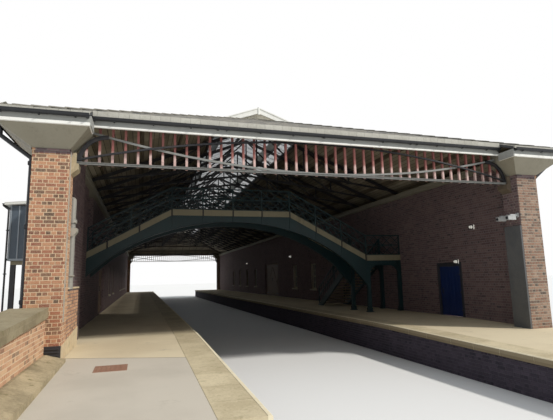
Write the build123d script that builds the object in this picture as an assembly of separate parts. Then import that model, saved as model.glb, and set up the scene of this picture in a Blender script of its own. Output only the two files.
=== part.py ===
from build123d import *
import os
from math import cos, pi, sin, sqrt

# Railway station train shed, modelled at half of full size, in millimetres.
# X runs across the tracks, Y along them, Z up from the track bed.

# Overall plan
shed_length = 30000
inner_half_width = 3475
wall_thickness = 195
wall_height = 3130
pier_inset = 200
pier_depth = 320
return_length = 1530
return_inset = 155
ledge_length = 930
ledge_height = 750
apron_length = 2500

# Platforms
platform_height = 500
track_gap = 3150
coping_width = 300
coping_thickness = 75
coping_overhang = 25
ramp_start = 1500
ramp_fall = 80

# Wall plates and roof planes
plate_width = 275
plate_height = 120
eave_below_plate = 25
eave_overhang = 350
roof_rise = 0.4
roof_thickness = 40
end_overhang = 225
setback = 100

# Roof glazing and ridge lantern
skylight_half_width = 1000
skylight_thickness = 18
lantern_half_width = 700
lantern_wall = 40
lantern_height = 235
lantern_rise = 0.37
lantern_overhang = 120
lantern_cover = 20
gable_thickness = 60
ridge_cap_half = 40

# Corner boxes, fascia boards and gutters
box_height = 350
box_set_in = 225
fascia_thickness = 20
fascia_drop = 115
gutter_width = 60
gutter_height = 50
gutter_lap = 15
gutter_wall = 8
soffit_drop = 170

# Roof frames
truss_spacing = 1073
truss_set_in = 120
truss_thickness = 30
web_panels = 3
rafter_depth = 75
tie_depth = 36
strut_depth = 30
tie_rise = 625
purlin_width = 40
purlin_depth = 60
purlin_rows = 4
hip_rafter_width = 60
hip_rafter_depth = 120
hip_foot_depth = 240
hip_gap = 90
jack_width = 30
jack_count = 11

# End girders
girder_set_in = 165
girder_thickness = 40
girder_depth = 480
chord_depth = 30
top_chord_depth = 50
arch_depth = 26
sag_lap = 10
chord_points = 15
bar_count = 42
bar_width = 30
shoe_radius = 350
shoe_width = 45
shoe_stand = 60
shoe_points = 9
padstone_reach = 80
padstone_height = 140
padstone_strip = 55

# Footbridge
bridge_distance = 3800
bridge_width = 900
rib_thickness = 50
band_depth = 125
band_proud = 10
deck_below_eave = 475
deck_thickness = 50
kerb_height = 35
left_flight_head = 1610
right_flight_run = 1864
landing_reach = 900
landing_drop = 985
arch_drop = 210
arch_overrun = 298
arch_rise = 2450
rib_foot_drop = 635
soffit_points = 15
tread_thickness = 28
tread_gap = 3
flight_steps = 12
rail_height = 475
rail_post_spacing = 645
rail_bar = 24
rail_thickness = 30
column_size = 80
beam_depth = 110
bracket_radius = 220
bracket_bar = 30

# Side stairs
stair_steps = 16
stair_going = 140
stringer_thickness = 40
stringer_head = 182
stair_clear = 770
stair_post_spacing = 1100

# Stair house outside the left wall
house_reach = 1100
house_below_eave = 445
house_panel = 40
house_roof_thickness = 40
house_roof_fall = 110
house_eave = 90
house_post = 80
house_window_width = 500
house_window_height = 460
house_window_sill = 500

# Platform door
door_distance = 1720
door_opening = 700
door_opening_height = 1025
door_frame_width = 50
door_frame_depth = 90
door_clearance = 5
door_sill_gap = 8
door_thickness = 30
door_recess = 5
hinge_radius = 8
hinge_length = 60
hinge_gap = 0.3
hinge_strap = 32
hinge_end_distance = 150
grip_reach = 40
grip_bar = 16
grip_length = 156
grip_inset = 48

# Windows and closed doorways
window_width = 500
window_height = 900
window_sill = 400
sash_width = 40
sash_depth = 60
pane_thickness = 12
sill_reach = 40
sill_height = 50
right_windows = (9500, 11500, 18000, 20000, 22000, 24000)
left_windows = (10500, 12500, 18000, 20000, 22000, 24000)
right_doorway = 14950
right_doorway_width = 2200
right_doorway_height = 1500
left_doorway = 7400
left_doorway_width = 1500
left_doorway_height = 1300
closed_door_thickness = 60

# Boundary wall on the left, ahead of the pier
boundary_set_in = 35
boundary_thickness = 330
boundary_height = 955
boundary_fall = 112
boundary_coping_height = 110
boundary_coping_proud = 30
boundary_base_width = 225
boundary_base_height = 60
boundary_base_lip = 30

# Pipes, lamps, cameras and the rendered strip
pipe_radius = 25
pipe_sides = 10
pipe_set_off = 15
pipe_neck_start = 175
pipe_neck_drop = 260
post_pipe_radius = 45
post_pipe_gap = 15
post_pipe_height = 1100
post_pipe_cap = 25
collar_radius = 60
collar_height = 45
collar_distance = 300
riser_depth = 30
riser_height = 1560
lamp_plate = 80
lamp_plate_thickness = 30
lamp_globe_radius = 32
lamp_globe_reach = 45
lamp_height = 1680
lamp_distances = (1300, 12000, 20000)
door_lamp_height = 1060
door_lamp_distance = 80
camera_length = 150
camera_body = 60
camera_arm = 30

# Derived planes and edges
half_length = shed_length / 2
front = -half_length
apron_front = front - apron_length
ramp_end = front + ramp_start
outer_half_width = inner_half_width + wall_thickness
pier_inner = inner_half_width - pier_inset
return_inner = inner_half_width - return_inset
platform_edge = track_gap / 2
boundary_inner = inner_half_width - boundary_set_in
plate_top = wall_height + plate_height
eave_height = plate_top - eave_below_plate
pier_height = eave_height - box_height
box_base_height = eave_height - fascia_drop
roof_half_width = outer_half_width + eave_overhang
roof_front = front - end_overhang
ridge_front = roof_front + roof_half_width
tie_centre_height = eave_height + tie_rise
chord_bottom = eave_height - girder_depth
top_chord_bottom = eave_height
top_chord_top = top_chord_bottom + top_chord_depth
box_inner = pier_inner - box_set_in
middle_front = front + setback
middle_edge = middle_front - fascia_thickness
gutter_low = gutter_lap - gutter_height
girder_front = front + girder_set_in
girder_back = girder_front + girder_thickness
bridge_near = front + bridge_distance
bridge_far = bridge_near + bridge_width
deck_height = eave_height - deck_below_eave
landing_height = deck_height - landing_drop
arch_crown = deck_height - arch_drop
rib_foot_height = landing_height - rib_foot_drop
kink_left = left_flight_head - inner_half_width
landing_edge = inner_half_width - landing_reach
kink_right = landing_edge - right_flight_run
outer_landing_edge = -outer_half_width
arch_centre = (kink_left + kink_right) / 2
arch_half_span = landing_edge - arch_centre + arch_overrun
left_slope_run = kink_left - outer_landing_edge
right_slope_run = landing_edge - kink_right
stair_near = inner_half_width - (stair_clear + stringer_thickness * 2) - pipe_set_off
house_outer = outer_half_width + house_reach
house_top = eave_height - house_below_eave
outer_stair_near = -house_outer + house_panel * 2
outer_stair_steps = round(stair_steps * landing_height / (landing_height - platform_height))
door_near = front + door_distance
door_far = door_near + door_opening


def block(x_range, y_range, z_range):
    """Rectangular solid between three pairs of planes."""
    size = [abs(pair[1] - pair[0]) for pair in (x_range, y_range, z_range)]
    centre = [(pair[0] + pair[1]) / 2 for pair in (x_range, y_range, z_range)]
    return Pos(*centre) * Box(*size)


def mirror_x(solid):
    """The same solid on the other side of the tracks."""
    return mirror(solid, Plane.YZ)


def mirror_y(solid):
    """The same solid at the other end of the shed."""
    return mirror(solid, Plane.XZ)


def four_corners(solid):
    """One solid repeated at the four corners of the shed."""
    pair = [solid, mirror_x(solid)]
    return pair + [mirror_y(item) for item in pair]


def along_y(points, near, far):
    """Prism along the tracks from an outline of (x, z) points."""
    corners = [(x, near, z) for x, z in points]
    face = make_face(Polyline(*corners, close=True))
    return extrude(face, amount=far - near, dir=(0, 1, 0))


def along_x(points, near, far):
    """Prism across the tracks from an outline of (y, z) points."""
    corners = [(near, y, z) for y, z in points]
    face = make_face(Polyline(*corners, close=True))
    return extrude(face, amount=far - near, dir=(1, 0, 0))


def upright(points, low, high):
    """Prism standing up from a plan outline of (x, y) points."""
    corners = [(x, y, low) for x, y in points]
    face = make_face(Polyline(*corners, close=True))
    return extrude(face, amount=high - low, dir=(0, 0, 1))


def bar_outline(start, end, width):
    """Corners of a straight bar of one width between two (u, z) points."""
    run = end[0] - start[0]
    rise = end[1] - start[1]
    length = sqrt(run * run + rise * rise)
    side_u = -rise / length * width / 2
    side_z = run / length * width / 2
    return [
        (start[0] + side_u, start[1] + side_z),
        (end[0] + side_u, end[1] + side_z),
        (end[0] - side_u, end[1] - side_z),
        (start[0] - side_u, start[1] - side_z),
    ]


def lattice_y(bars, near, far):
    """Flat lattice of (start, end, width) bars facing along the tracks."""
    first = along_y(bar_outline(*bars[0]), near, far)
    rest = [along_y(bar_outline(*bar), near, far) for bar in bars[1:]]
    return first.fuse(*rest).clean()


def lattice_x(bars, near, far):
    """Flat lattice of (start, end, width) bars facing across the tracks."""
    first = along_x(bar_outline(*bars[0]), near, far)
    rest = [along_x(bar_outline(*bar), near, far) for bar in bars[1:]]
    return first.fuse(*rest).clean()


def roof_underside(x):
    """Height of the side slopes' underside at a distance from the centre line."""
    return eave_height + roof_rise * (roof_half_width - abs(x))


# Heights of the ridge lantern
lantern_foot = roof_underside(lantern_half_width) + roof_thickness
lantern_eave = lantern_foot + lantern_height
lantern_apex = lantern_eave + lantern_rise * lantern_half_width


def end_underside(y):
    """Height of the hipped ends' underside at a place along the shed."""
    return eave_height + roof_rise * (half_length + end_overhang - abs(y))


def evenly(start, end, count):
    """Places spread evenly from start to end, both included."""
    step = (end - start) / (count - 1)
    return [start + step * index for index in range(count)]


def platform_top(low_depth):
    """Outline of the top of a platform with its front ramp, down to a depth."""
    return [
        (apron_front, platform_height - ramp_fall - low_depth),
        (ramp_end, platform_height - low_depth),
        (-front, platform_height - low_depth),
        (-front, platform_height),
        (ramp_end, platform_height),
        (apron_front, platform_height - ramp_fall),
    ]


def platform(apron_outer):
    """Right-hand platform in plan, notched round the end piers."""
    face = platform_edge + coping_overhang
    plan = [
        (face, apron_front),
        (apron_outer, apron_front),
        (apron_outer, front),
        (pier_inner, front),
        (pier_inner, front + pier_depth),
        (inner_half_width, front + pier_depth),
        (inner_half_width, -front - pier_depth),
        (pier_inner, -front - pier_depth),
        (pier_inner, -front),
        (face, -front),
    ]
    slab = upright(plan, 0, platform_height)
    over_ramp = [
        (apron_front, platform_height - ramp_fall),
        (ramp_end, platform_height),
        (apron_front, platform_height),
    ]
    slab = slab - along_x(over_ramp, 0, apron_outer)
    return slab - along_x(platform_top(coping_thickness), 0, platform_edge + coping_width)


def left_platform():
    """Left-hand platform, up to the boundary wall and round the thick return."""
    return mirror_x(platform(boundary_inner)) - left_wall_front()


def copings():
    """Stone edge of both platforms."""
    stone = along_x(platform_top(coping_thickness), platform_edge, platform_edge + coping_width)
    return [stone, mirror_x(stone)]


def wall_run(near, far, low, high):
    """Straight length of the right-hand side wall."""
    return block((inner_half_width, outer_half_width), (near, far), (low, high))


def hole(near, far, low, high):
    """Opening cut right through the right-hand side wall."""
    over = wall_thickness
    return block((inner_half_width - over, outer_half_width + over), (near, far), (low, high))


def window_hole(distance):
    """Window opening at a distance from the front of the shed."""
    middle = front + distance
    low = platform_height + window_sill
    return hole(middle - window_width / 2, middle + window_width / 2, low, low + window_height)


def doorway_hole(distance, width, height):
    """Closed doorway at a distance from the front of the shed."""
    middle = front + distance
    return hole(middle - width / 2, middle + width / 2, platform_height, platform_height + height)


def right_wall_front():
    """Wall from the front pier to the platform door."""
    return wall_run(front + pier_depth, door_near, 0, wall_height)


def right_wall_under_door():
    """Threshold and footing below the platform door."""
    return wall_run(door_near, door_far, 0, platform_height)


def right_wall_over_door():
    """Brickwork over the platform door."""
    return wall_run(door_near, door_far, platform_height + door_opening_height, wall_height)


def right_wall_back():
    """Long right-hand wall with its windows and its closed doorway."""
    wall = wall_run(door_far, -front - pier_depth, 0, wall_height)
    for distance in right_windows:
        wall = wall - window_hole(distance)
    return wall - doorway_hole(right_doorway, right_doorway_width, right_doorway_height)


def left_wall_front():
    """Left wall up to the footbridge, thicker beside the pier and with a low ledge."""
    plan = [
        (return_inner, front + pier_depth),
        (outer_half_width, front + pier_depth),
        (outer_half_width, bridge_near - band_proud),
        (inner_half_width, bridge_near - band_proud),
        (inner_half_width, front + pier_depth + return_length),
        (return_inner, front + pier_depth + return_length),
    ]
    ledge = block(
        (pier_inner, return_inner),
        (front + pier_depth, front + pier_depth + ledge_length),
        (0, platform_height + ledge_height),
    )
    return mirror_x(upright(plan, 0, wall_height).fuse(ledge).clean())


def band_top_left(x):
    """Top of the left flight's edge band at a place across the shed."""
    slope = landing_drop / left_slope_run
    return deck_height + kerb_height - slope * (kink_left - x)


def left_wall_under_bridge():
    """Wall below the opening through which the footbridge passes."""
    low_in = band_top_left(-inner_half_width) - band_depth
    low_out = band_top_left(-outer_half_width) - band_depth
    points = [
        (-outer_half_width, 0),
        (-inner_half_width, 0),
        (-inner_half_width, low_in),
        (-outer_half_width, low_out),
    ]
    return along_y(points, bridge_near - band_proud, bridge_far + band_proud)


def left_wall_back():
    """Long left-hand wall with its windows and its closed doorway."""
    wall = wall_run(bridge_far + band_proud, -front - pier_depth, 0, wall_height)
    for distance in left_windows:
        wall = wall - window_hole(distance)
    wall = wall - doorway_hole(left_doorway, left_doorway_width, left_doorway_height)
    return mirror_x(wall)


def pier():
    """Brick end pier."""
    return block((pier_inner, outer_half_width), (front, front + pier_depth), (0, pier_height))


def corner_box():
    """Flared soffit box that carries the eaves on top of a pier."""
    outer = roof_half_width - fascia_thickness
    near = roof_front + fascia_thickness
    far = front + pier_depth
    seen_from_front = [
        (pier_inner, pier_height),
        (outer_half_width, pier_height),
        (outer, box_base_height),
        (outer, eave_height),
        (box_inner, eave_height),
        (box_inner, box_base_height),
    ]
    seen_from_side = [
        (front, pier_height),
        (far, pier_height),
        (far, eave_height),
        (near, eave_height),
        (near, box_base_height),
    ]
    return along_y(seen_from_front, near, far) & along_x(seen_from_side, box_inner, outer)


def padstone():
    """Stone corbel that seats the girder, with an upright strip above it."""
    near = girder_front - girder_thickness
    corbel = along_y(
        [
            (pier_inner, chord_bottom - padstone_height),
            (pier_inner, chord_bottom),
            (pier_inner - padstone_reach, chord_bottom),
            (pier_inner - padstone_reach, chord_bottom - padstone_height / 2),
        ],
        near,
        front + pier_depth,
    )
    strip = block(
        (pier_inner - padstone_strip, pier_inner), (near, girder_front), (chord_bottom, pier_height)
    )
    return corbel.fuse(strip).clean()


def curved_chord(spring_height, crown_height, near, far):
    """Shallow curved bar from pier to pier, rising or sagging to the centre line."""
    rise = crown_height - arch_depth - spring_height
    lower = [
        (x, spring_height + rise * (1 - (x / pier_inner) ** 2))
        for x in evenly(-pier_inner, pier_inner, chord_points)
    ]
    upper = [(x, z + arch_depth) for x, z in reversed(lower)]
    return along_y(lower + upper, near, far)


def girder():
    """Flat bottom chord with the sagging chord on it, and the top chord on the boxes."""
    middle = girder_front + girder_thickness / 2
    chord_top = chord_bottom + chord_depth
    bottom = block((-pier_inner, pier_inner), (girder_front, girder_back), (chord_bottom, chord_top))
    sag = curved_chord(
        top_chord_bottom - arch_depth, chord_top + arch_depth - sag_lap, middle, girder_back
    )
    stand = block((pier_inner - shoe_stand, pier_inner), (middle, girder_back), (chord_bottom, pier_height))
    right_box = corner_box()
    frame = bottom.fuse(sag, stand, mirror_x(stand)) - right_box - mirror_x(right_box)
    top = block(
        (-outer_half_width, outer_half_width),
        (girder_front, girder_back),
        (top_chord_bottom, top_chord_top),
    )
    return [frame.clean(), top]


def girder_arch():
    """Arched chord with its curved end shoes, in front of the sagging chord."""
    near = girder_front
    far = girder_front + girder_thickness / 2
    springing = chord_bottom + chord_depth
    arch = curved_chord(springing, top_chord_bottom, near, far)
    centre = pier_inner - shoe_stand - shoe_radius
    inner = shoe_radius - shoe_width
    turns = evenly(0, pi / 2, shoe_points)
    outside = [(centre + shoe_radius * cos(turn), springing + shoe_radius * sin(turn)) for turn in turns]
    inside = [(centre + inner * cos(turn), springing + inner * sin(turn)) for turn in reversed(turns)]
    shoe = along_y(outside + inside, near, far)
    whole = arch.fuse(shoe, mirror_x(shoe)).clean()
    right_box = corner_box()
    return whole - right_box - mirror_x(right_box)


def girder_bars():
    """Row of upright timber bars behind the chords."""
    spacing = 2 * pier_inner / (bar_count + 1)
    right_box = corner_box()
    boxes = [right_box, mirror_x(right_box)]
    bars = []
    for index in range(bar_count):
        x = -pier_inner + spacing * (index + 1)
        in_box = abs(x) + bar_width / 2 > box_inner
        top = top_chord_bottom if in_box else top_chord_top
        bar = block(
            (x - bar_width / 2, x + bar_width / 2),
            (girder_back, girder_back + bar_width),
            (chord_bottom, top),
        )
        if in_box:
            bar = bar - boxes[0] - boxes[1]
        bars.append(bar)
    return bars


def side_slope():
    """Right-hand roof slope, cut back for the skylight and lantern."""
    plan = [
        (roof_half_width, roof_front),
        (roof_half_width, -roof_front),
        (0, -ridge_front),
        (skylight_half_width, -ridge_front),
        (skylight_half_width, ridge_front),
        (0, ridge_front),
    ]
    corners = [(x, y, roof_underside(x)) for x, y in plan]
    face = make_face(Polyline(*corners, close=True))
    return extrude(face, amount=roof_thickness, dir=(0, 0, 1))


def hipped_end():
    """Front hipped roof end, set back between the corner boxes."""
    plan = [
        (-roof_half_width, roof_front),
        (-box_inner, roof_front),
        (-box_inner, middle_edge),
        (box_inner, middle_edge),
        (box_inner, roof_front),
        (roof_half_width, roof_front),
        (0, ridge_front),
    ]
    corners = [(x, y, end_underside(y)) for x, y in plan]
    face = make_face(Polyline(*corners, close=True))
    return extrude(face, amount=roof_thickness, dir=(0, 0, 1))


def skylight():
    """Band of roof glazing between the slates and the lantern."""
    rise = roof_underside(lantern_half_width) + roof_thickness - skylight_thickness
    fall = roof_underside(skylight_half_width) + roof_thickness - skylight_thickness
    points = [
        (lantern_half_width, rise),
        (skylight_half_width, fall),
        (skylight_half_width, fall + skylight_thickness),
        (lantern_half_width, rise + skylight_thickness),
    ]
    return along_y(points, ridge_front + gable_thickness, -ridge_front - gable_thickness)


def lantern_side():
    """Louvred upright side of the ridge lantern."""
    outer = lantern_half_width + lantern_wall
    points = [
        (lantern_half_width, lantern_foot),
        (outer, lantern_foot - roof_rise * lantern_wall),
        (outer, lantern_eave - lantern_rise * lantern_wall),
        (lantern_half_width, lantern_eave),
    ]
    return along_y(points, ridge_front + gable_thickness, -ridge_front - gable_thickness)


def lantern_gable():
    """Boarded end of the lantern, seated between the roof planes."""
    outer = lantern_half_width + lantern_wall
    points = [
        (-outer, lantern_foot - roof_rise * lantern_wall),
        (outer, lantern_foot - roof_rise * lantern_wall),
        (outer, lantern_eave - lantern_rise * lantern_wall),
        (0, lantern_apex),
        (-outer, lantern_eave - lantern_rise * lantern_wall),
    ]
    return along_y(points, ridge_front, ridge_front + gable_thickness)


def lantern_slope():
    """Glazed right-hand slope of the lantern roof."""
    reach = lantern_half_width + lantern_overhang
    gap = ridge_cap_half
    points = [
        (gap, lantern_apex - lantern_rise * gap),
        (reach, lantern_apex - lantern_rise * reach),
        (reach, lantern_apex - lantern_rise * reach + lantern_cover),
        (gap, lantern_apex - lantern_rise * gap + lantern_cover),
    ]
    return along_y(points, ridge_front - lantern_overhang, -ridge_front + lantern_overhang)


def lantern_ridge():
    """Ridge piece that closes the two glazed slopes."""
    gap = ridge_cap_half
    points = [
        (-gap, lantern_apex - lantern_rise * gap),
        (0, lantern_apex),
        (gap, lantern_apex - lantern_rise * gap),
        (gap, lantern_apex - lantern_rise * gap + lantern_cover),
        (0, lantern_apex + lantern_cover * 2),
        (-gap, lantern_apex - lantern_rise * gap + lantern_cover),
    ]
    return along_y(points, ridge_front - lantern_overhang, -ridge_front + lantern_overhang)


def rafter_top(x):
    """Top of the truss rafters, under the purlins."""
    return roof_underside(x) - purlin_depth


def truss(place):
    """Iron roof truss with rafters, raking ties, a king rod and struts."""
    foot = outer_half_width
    seat = outer_half_width - (plate_top - rafter_top(outer_half_width) + rafter_depth) / roof_rise
    half_rafter = [
        (foot, rafter_top(foot)),
        (0, rafter_top(0)),
        (0, rafter_top(0) - rafter_depth),
        (seat, plate_top),
        (foot, plate_top),
    ]
    near = place - truss_thickness / 2
    far = place + truss_thickness / 2
    rafter = along_y(half_rafter, near, far)
    tie_foot = inner_half_width - plate_width + wall_thickness
    tie_end = (tie_foot, rafter_top(tie_foot) - rafter_depth / 2)
    tie_centre = (0, tie_centre_height)
    pieces = [along_y(bar_outline(tie_end, tie_centre, tie_depth), near, far)]
    for index in range(1, web_panels):
        share = index / web_panels
        x = tie_foot * (1 - share)
        high = (x, rafter_top(x) - rafter_depth / 2)
        low_z = tie_end[1] + (tie_centre[1] - tie_end[1]) * share
        pieces.append(along_y(bar_outline((x, low_z), high, strut_depth), near, far))
        next_x = tie_foot * (1 - (index + 1) / web_panels)
        next_high = (next_x, rafter_top(next_x) - rafter_depth / 2)
        pieces.append(along_y(bar_outline((x, low_z), next_high, strut_depth), near, far))
    half = rafter.fuse(*pieces).clean()
    king = block(
        (-strut_depth / 2, strut_depth / 2),
        (near, far),
        (tie_centre_height - tie_depth, rafter_top(0) - rafter_depth / 2),
    )
    return half.fuse(mirror_x(half), king).clean()


def truss_places():
    """Places of the trusses between the two ends of the ridge."""
    first = ridge_front + truss_set_in
    bays = round(-2 * first / truss_spacing)
    return evenly(first, -first, bays + 1)


def purlin_row_places():
    """Distances of the purlins from the centre line."""
    inner = skylight_half_width
    outer = inner_half_width - plate_width
    return evenly(inner + purlin_width / 2, outer, purlin_rows)


def side_purlins():
    """Purlins of the right-hand slope, stopping short of the hips."""
    purlins = []
    for x in purlin_row_places():
        low = x - purlin_width / 2
        high = x + purlin_width / 2
        reach = -roof_front - (roof_half_width - low) - hip_rafter_width * 2
        points = [
            (low, roof_underside(low) - purlin_depth),
            (high, roof_underside(high) - purlin_depth),
            (high, roof_underside(high)),
            (low, roof_underside(low)),
        ]
        purlins.append(along_y(points, -reach, reach))
    return purlins


def end_purlins():
    """Purlins of the front hipped end."""
    purlins = []
    for x in purlin_row_places():
        distance = roof_half_width - x
        y = roof_front + distance
        low = y - purlin_width / 2
        high = y + purlin_width / 2
        reach = x - purlin_width / 2 - hip_rafter_width * 2
        points = [
            (low, end_underside(low) - purlin_depth),
            (high, end_underside(high) - purlin_depth),
            (high, end_underside(high)),
            (low, end_underside(low)),
        ]
        purlins.append(along_x(points, -reach, reach))
    return purlins


def hip_rafter():
    """Diagonal rafter under the front right hip."""
    half = hip_rafter_width / 2 / sqrt(2)
    start = pier_inner
    end = hip_gap
    near_start = roof_front + roof_half_width - start
    near_end = roof_front + roof_half_width - end
    plan = [
        (start + half, near_start + half),
        (start - half, near_start - half),
        (end - half, near_end - half),
        (end + half, near_end + half),
    ]
    ridge = roof_underside(0)
    low = roof_underside(start) - hip_foot_depth
    blank = upright(plan, low, ridge)
    below = [
        (0, low - hip_foot_depth),
        (roof_half_width, low - hip_foot_depth),
        (roof_half_width, eave_height - hip_rafter_depth),
        (0, ridge - hip_rafter_depth),
    ]
    above_side = [(0, ridge), (roof_half_width, eave_height), (roof_half_width, ridge)]
    above_end = [(roof_front, eave_height), (ridge_front, ridge), (roof_front, ridge)]
    rafter = blank - along_y(below, roof_front, 0)
    rafter = rafter - along_y(above_side, roof_front, 0)
    return rafter - along_x(above_end, 0, roof_half_width)


def jack_rafters():
    """Common rafters of the front hipped end, seated on the top chord."""
    rafters = []
    under_purlins = purlin_depth + rafter_depth
    for x in evenly(-box_inner, box_inner, jack_count + 2)[1:-1]:
        reach = ridge_front - abs(x) - hip_gap
        start = girder_front
        seat_end = roof_front + (top_chord_top + under_purlins - eave_height) / roof_rise
        points = [
            (start, top_chord_top),
            (start, end_underside(start) - purlin_depth),
            (reach, end_underside(reach) - purlin_depth),
            (reach, end_underside(reach) - under_purlins),
            (seat_end, top_chord_top),
        ]
        rafters.append(along_x(points, x - jack_width / 2, x + jack_width / 2))
    return rafters


def wall_plates():
    """Stone-coloured plates along the tops of both walls."""
    plate = block(
        (outer_half_width - plate_width, outer_half_width),
        (front + pier_depth, -front - pier_depth),
        (wall_height, plate_top),
    )
    return [plate, mirror_x(plate)]


def side_soffit():
    """Flared boarding under the right-hand side eaves."""
    outer = roof_half_width - fascia_thickness
    points = [
        (outer_half_width, box_base_height - soffit_drop),
        (outer, box_base_height),
        (outer, eave_height),
        (outer_half_width, eave_height),
    ]
    return along_y(points, front + pier_depth, -front - pier_depth)


def side_fascia():
    """Board along the right-hand side eaves."""
    return block(
        (roof_half_width - fascia_thickness, roof_half_width),
        (roof_front, -roof_front),
        (eave_height - fascia_drop, eave_height),
    )


def corner_fascia():
    """Board across the front of the right-hand corner box, returned along its inner side."""
    levels = (eave_height - fascia_drop, eave_height)
    board = block(
        (box_inner - fascia_thickness, roof_half_width - fascia_thickness),
        (roof_front, roof_front + fascia_thickness),
        levels,
    )
    inner_return = block(
        (box_inner - fascia_thickness, box_inner),
        (roof_front + fascia_thickness, middle_edge),
        levels,
    )
    return board.fuse(inner_return).clean()


def middle_fascia():
    """Board along the front eaves between the corner boxes."""
    top = end_underside(middle_edge)
    return block(
        (-box_inner, box_inner),
        (middle_edge, middle_front),
        (top - fascia_drop, top),
    )


def gutter_section(run, low):
    """Open box gutter outline, from its back edge outwards."""
    return [
        (run, low),
        (run + gutter_width, low),
        (run + gutter_width, low + gutter_height),
        (run + gutter_width - gutter_wall, low + gutter_height),
        (run + gutter_width - gutter_wall, low + gutter_wall),
        (run + gutter_wall, low + gutter_wall),
        (run + gutter_wall, low + gutter_height),
        (run, low + gutter_height),
    ]


def side_gutter():
    """Gutter along the right-hand side eaves."""
    low = eave_height + gutter_low
    return along_y(gutter_section(roof_half_width, low), roof_front, -roof_front)


def front_gutters():
    """Gutters across the front: two on the corner boxes and one set back."""
    outlines = [
        (roof_front, eave_height + gutter_low, box_inner, roof_half_width),
        (middle_edge, end_underside(middle_edge) + gutter_low, -box_inner, box_inner),
    ]
    gutters = []
    for board, low, start, end in outlines:
        section = [(2 * board - y, z) for y, z in gutter_section(board, low)]
        gutters.append(along_x(section, start, end))
    right, middle = gutters
    return [right, mirror_x(right), middle]


def downpipe():
    """Rainwater pipe with a swan neck, beside the front right pier."""
    wall_line = outer_half_width + pipe_set_off + pipe_radius
    gutter_line = roof_half_width + gutter_width / 2
    along = front + pier_depth / 2
    neck_top = eave_height - pipe_neck_start
    route = Polyline(
        (gutter_line, along, eave_height + gutter_low),
        (gutter_line, along, neck_top),
        (wall_line, along, neck_top - pipe_neck_drop),
        (wall_line, along, 0),
    )
    section = Plane(origin=route @ 0, z_dir=route % 0) * RegularPolygon(pipe_radius, pipe_sides)
    return sweep(section, path=route, transition=Transition.RIGHT)


def band_path():
    """Top edge of the footbridge, from the left wall to the right landing."""
    top = deck_height + kerb_height
    low = landing_height + kerb_height
    return [(kink_left, top), (kink_right, top), (landing_edge, low)]


def soffit_height(x):
    """Underside of the ribs, an ellipse between the wall and the columns."""
    share = (x - arch_centre) / arch_half_span
    return arch_crown - arch_rise * (1 - sqrt(1 - share**2))


def rib(near):
    """Plate rib with an elliptical soffit, between the wall and the columns."""
    foot_rise = (arch_crown - rib_foot_height) / arch_rise
    foot_reach = arch_half_span * sqrt(1 - (1 - foot_rise) ** 2)
    places = evenly(arch_centre + foot_reach, -inner_half_width, soffit_points)
    soffit = [(x, soffit_height(x)) for x in places]
    left_top = band_top_left(-inner_half_width) - band_depth
    top = [(x, z - band_depth) for x, z in band_path()]
    foot = (landing_edge, rib_foot_height)
    outline = [(-inner_half_width, left_top), *top, foot, *soffit]
    return along_y(outline, near, near + rib_thickness)


def band(near, outer_end, inner_end):
    """Deep edge band on top of a rib, out to the landings at both ends."""
    low = landing_height + kerb_height
    top = [(outer_landing_edge, low)] + band_path()
    if outer_end < outer_landing_edge:
        top = [(outer_end, low)] + top
    if inner_end > landing_edge:
        top = top + [(inner_end, low)]
    under = [(x, z - band_depth) for x, z in reversed(top)]
    return along_y(top + under, near - band_proud, near + rib_thickness + band_proud)


def bridge_deck():
    """Level walkway, right landing and outer landing."""
    inner_near = bridge_near + rib_thickness + band_proud
    inner_far = bridge_far - rib_thickness - band_proud
    level = block(
        (kink_left, kink_right),
        (inner_near, inner_far),
        (deck_height - deck_thickness, deck_height),
    )
    right = block(
        (landing_edge, inner_half_width),
        (inner_near, bridge_far),
        (landing_height - deck_thickness, landing_height),
    )
    beam = block(
        (landing_edge, inner_half_width),
        (bridge_far - column_size, bridge_far),
        (landing_height + kerb_height - band_depth, landing_height),
    )
    outer = block(
        (-house_outer, outer_landing_edge),
        (inner_near, bridge_far + band_proud),
        (landing_height - deck_thickness, landing_height),
    )
    return [level, right.fuse(beam).clean(), outer]


def bridge_treads():
    """Treads of the two sloping flights of the footbridge."""
    inner_near = bridge_near + rib_thickness + band_proud
    inner_far = bridge_far - rib_thickness - band_proud
    riser = landing_drop / flight_steps
    treads = []
    for start, run in ((kink_right, right_slope_run), (kink_left, -left_slope_run)):
        going = run / flight_steps
        gap = tread_gap if run > 0 else -tread_gap
        for index in range(1, flight_steps):
            top = deck_height - riser * index
            first = start + going * (index - 1) + gap
            last = start + going * index
            treads.append(
                block(sorted((first, last)), (inner_near, inner_far), (top - tread_thickness, top))
            )
    return treads


def path_height(path, x):
    """Height of a path of (x, z) points at a place across the shed."""
    for start, end in zip(path, path[1:]):
        if start[0] <= x <= end[0]:
            share = (x - start[0]) / (end[0] - start[0])
            return start[1] + (end[1] - start[1]) * share
    return path[-1][1]


def bridge_railing(near, right_end):
    """Railing of posts and three rails above an edge band."""
    path = [(-inner_half_width, band_top_left(-inner_half_width))] + band_path()
    if right_end > landing_edge:
        path = path + [(right_end, landing_height + kerb_height)]
    bars = []
    for start, end in zip(path, path[1:]):
        for lift in (rail_bar / 2, rail_height / 2, rail_height - rail_bar / 2):
            bars.append(((start[0], start[1] + lift), (end[0], end[1] + lift), rail_bar))
    stops = [point[0] for point in path]
    posts = []
    for start, end in zip(stops, stops[1:]):
        count = max(1, round((end - start) / rail_post_spacing))
        posts += evenly(start, end, count + 1)[:-1]
    posts.append(stops[-1])
    posts[0] += rail_bar / 2
    posts[-1] -= rail_bar / 2
    for x in posts:
        foot = path_height(path, x)
        bars.append(((x, foot), (x, foot + rail_height), rail_bar))
    edge = band(near - band_proud, outer_landing_edge, right_end)
    return lattice_y(bars, near, near + rail_thickness) - edge


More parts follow.
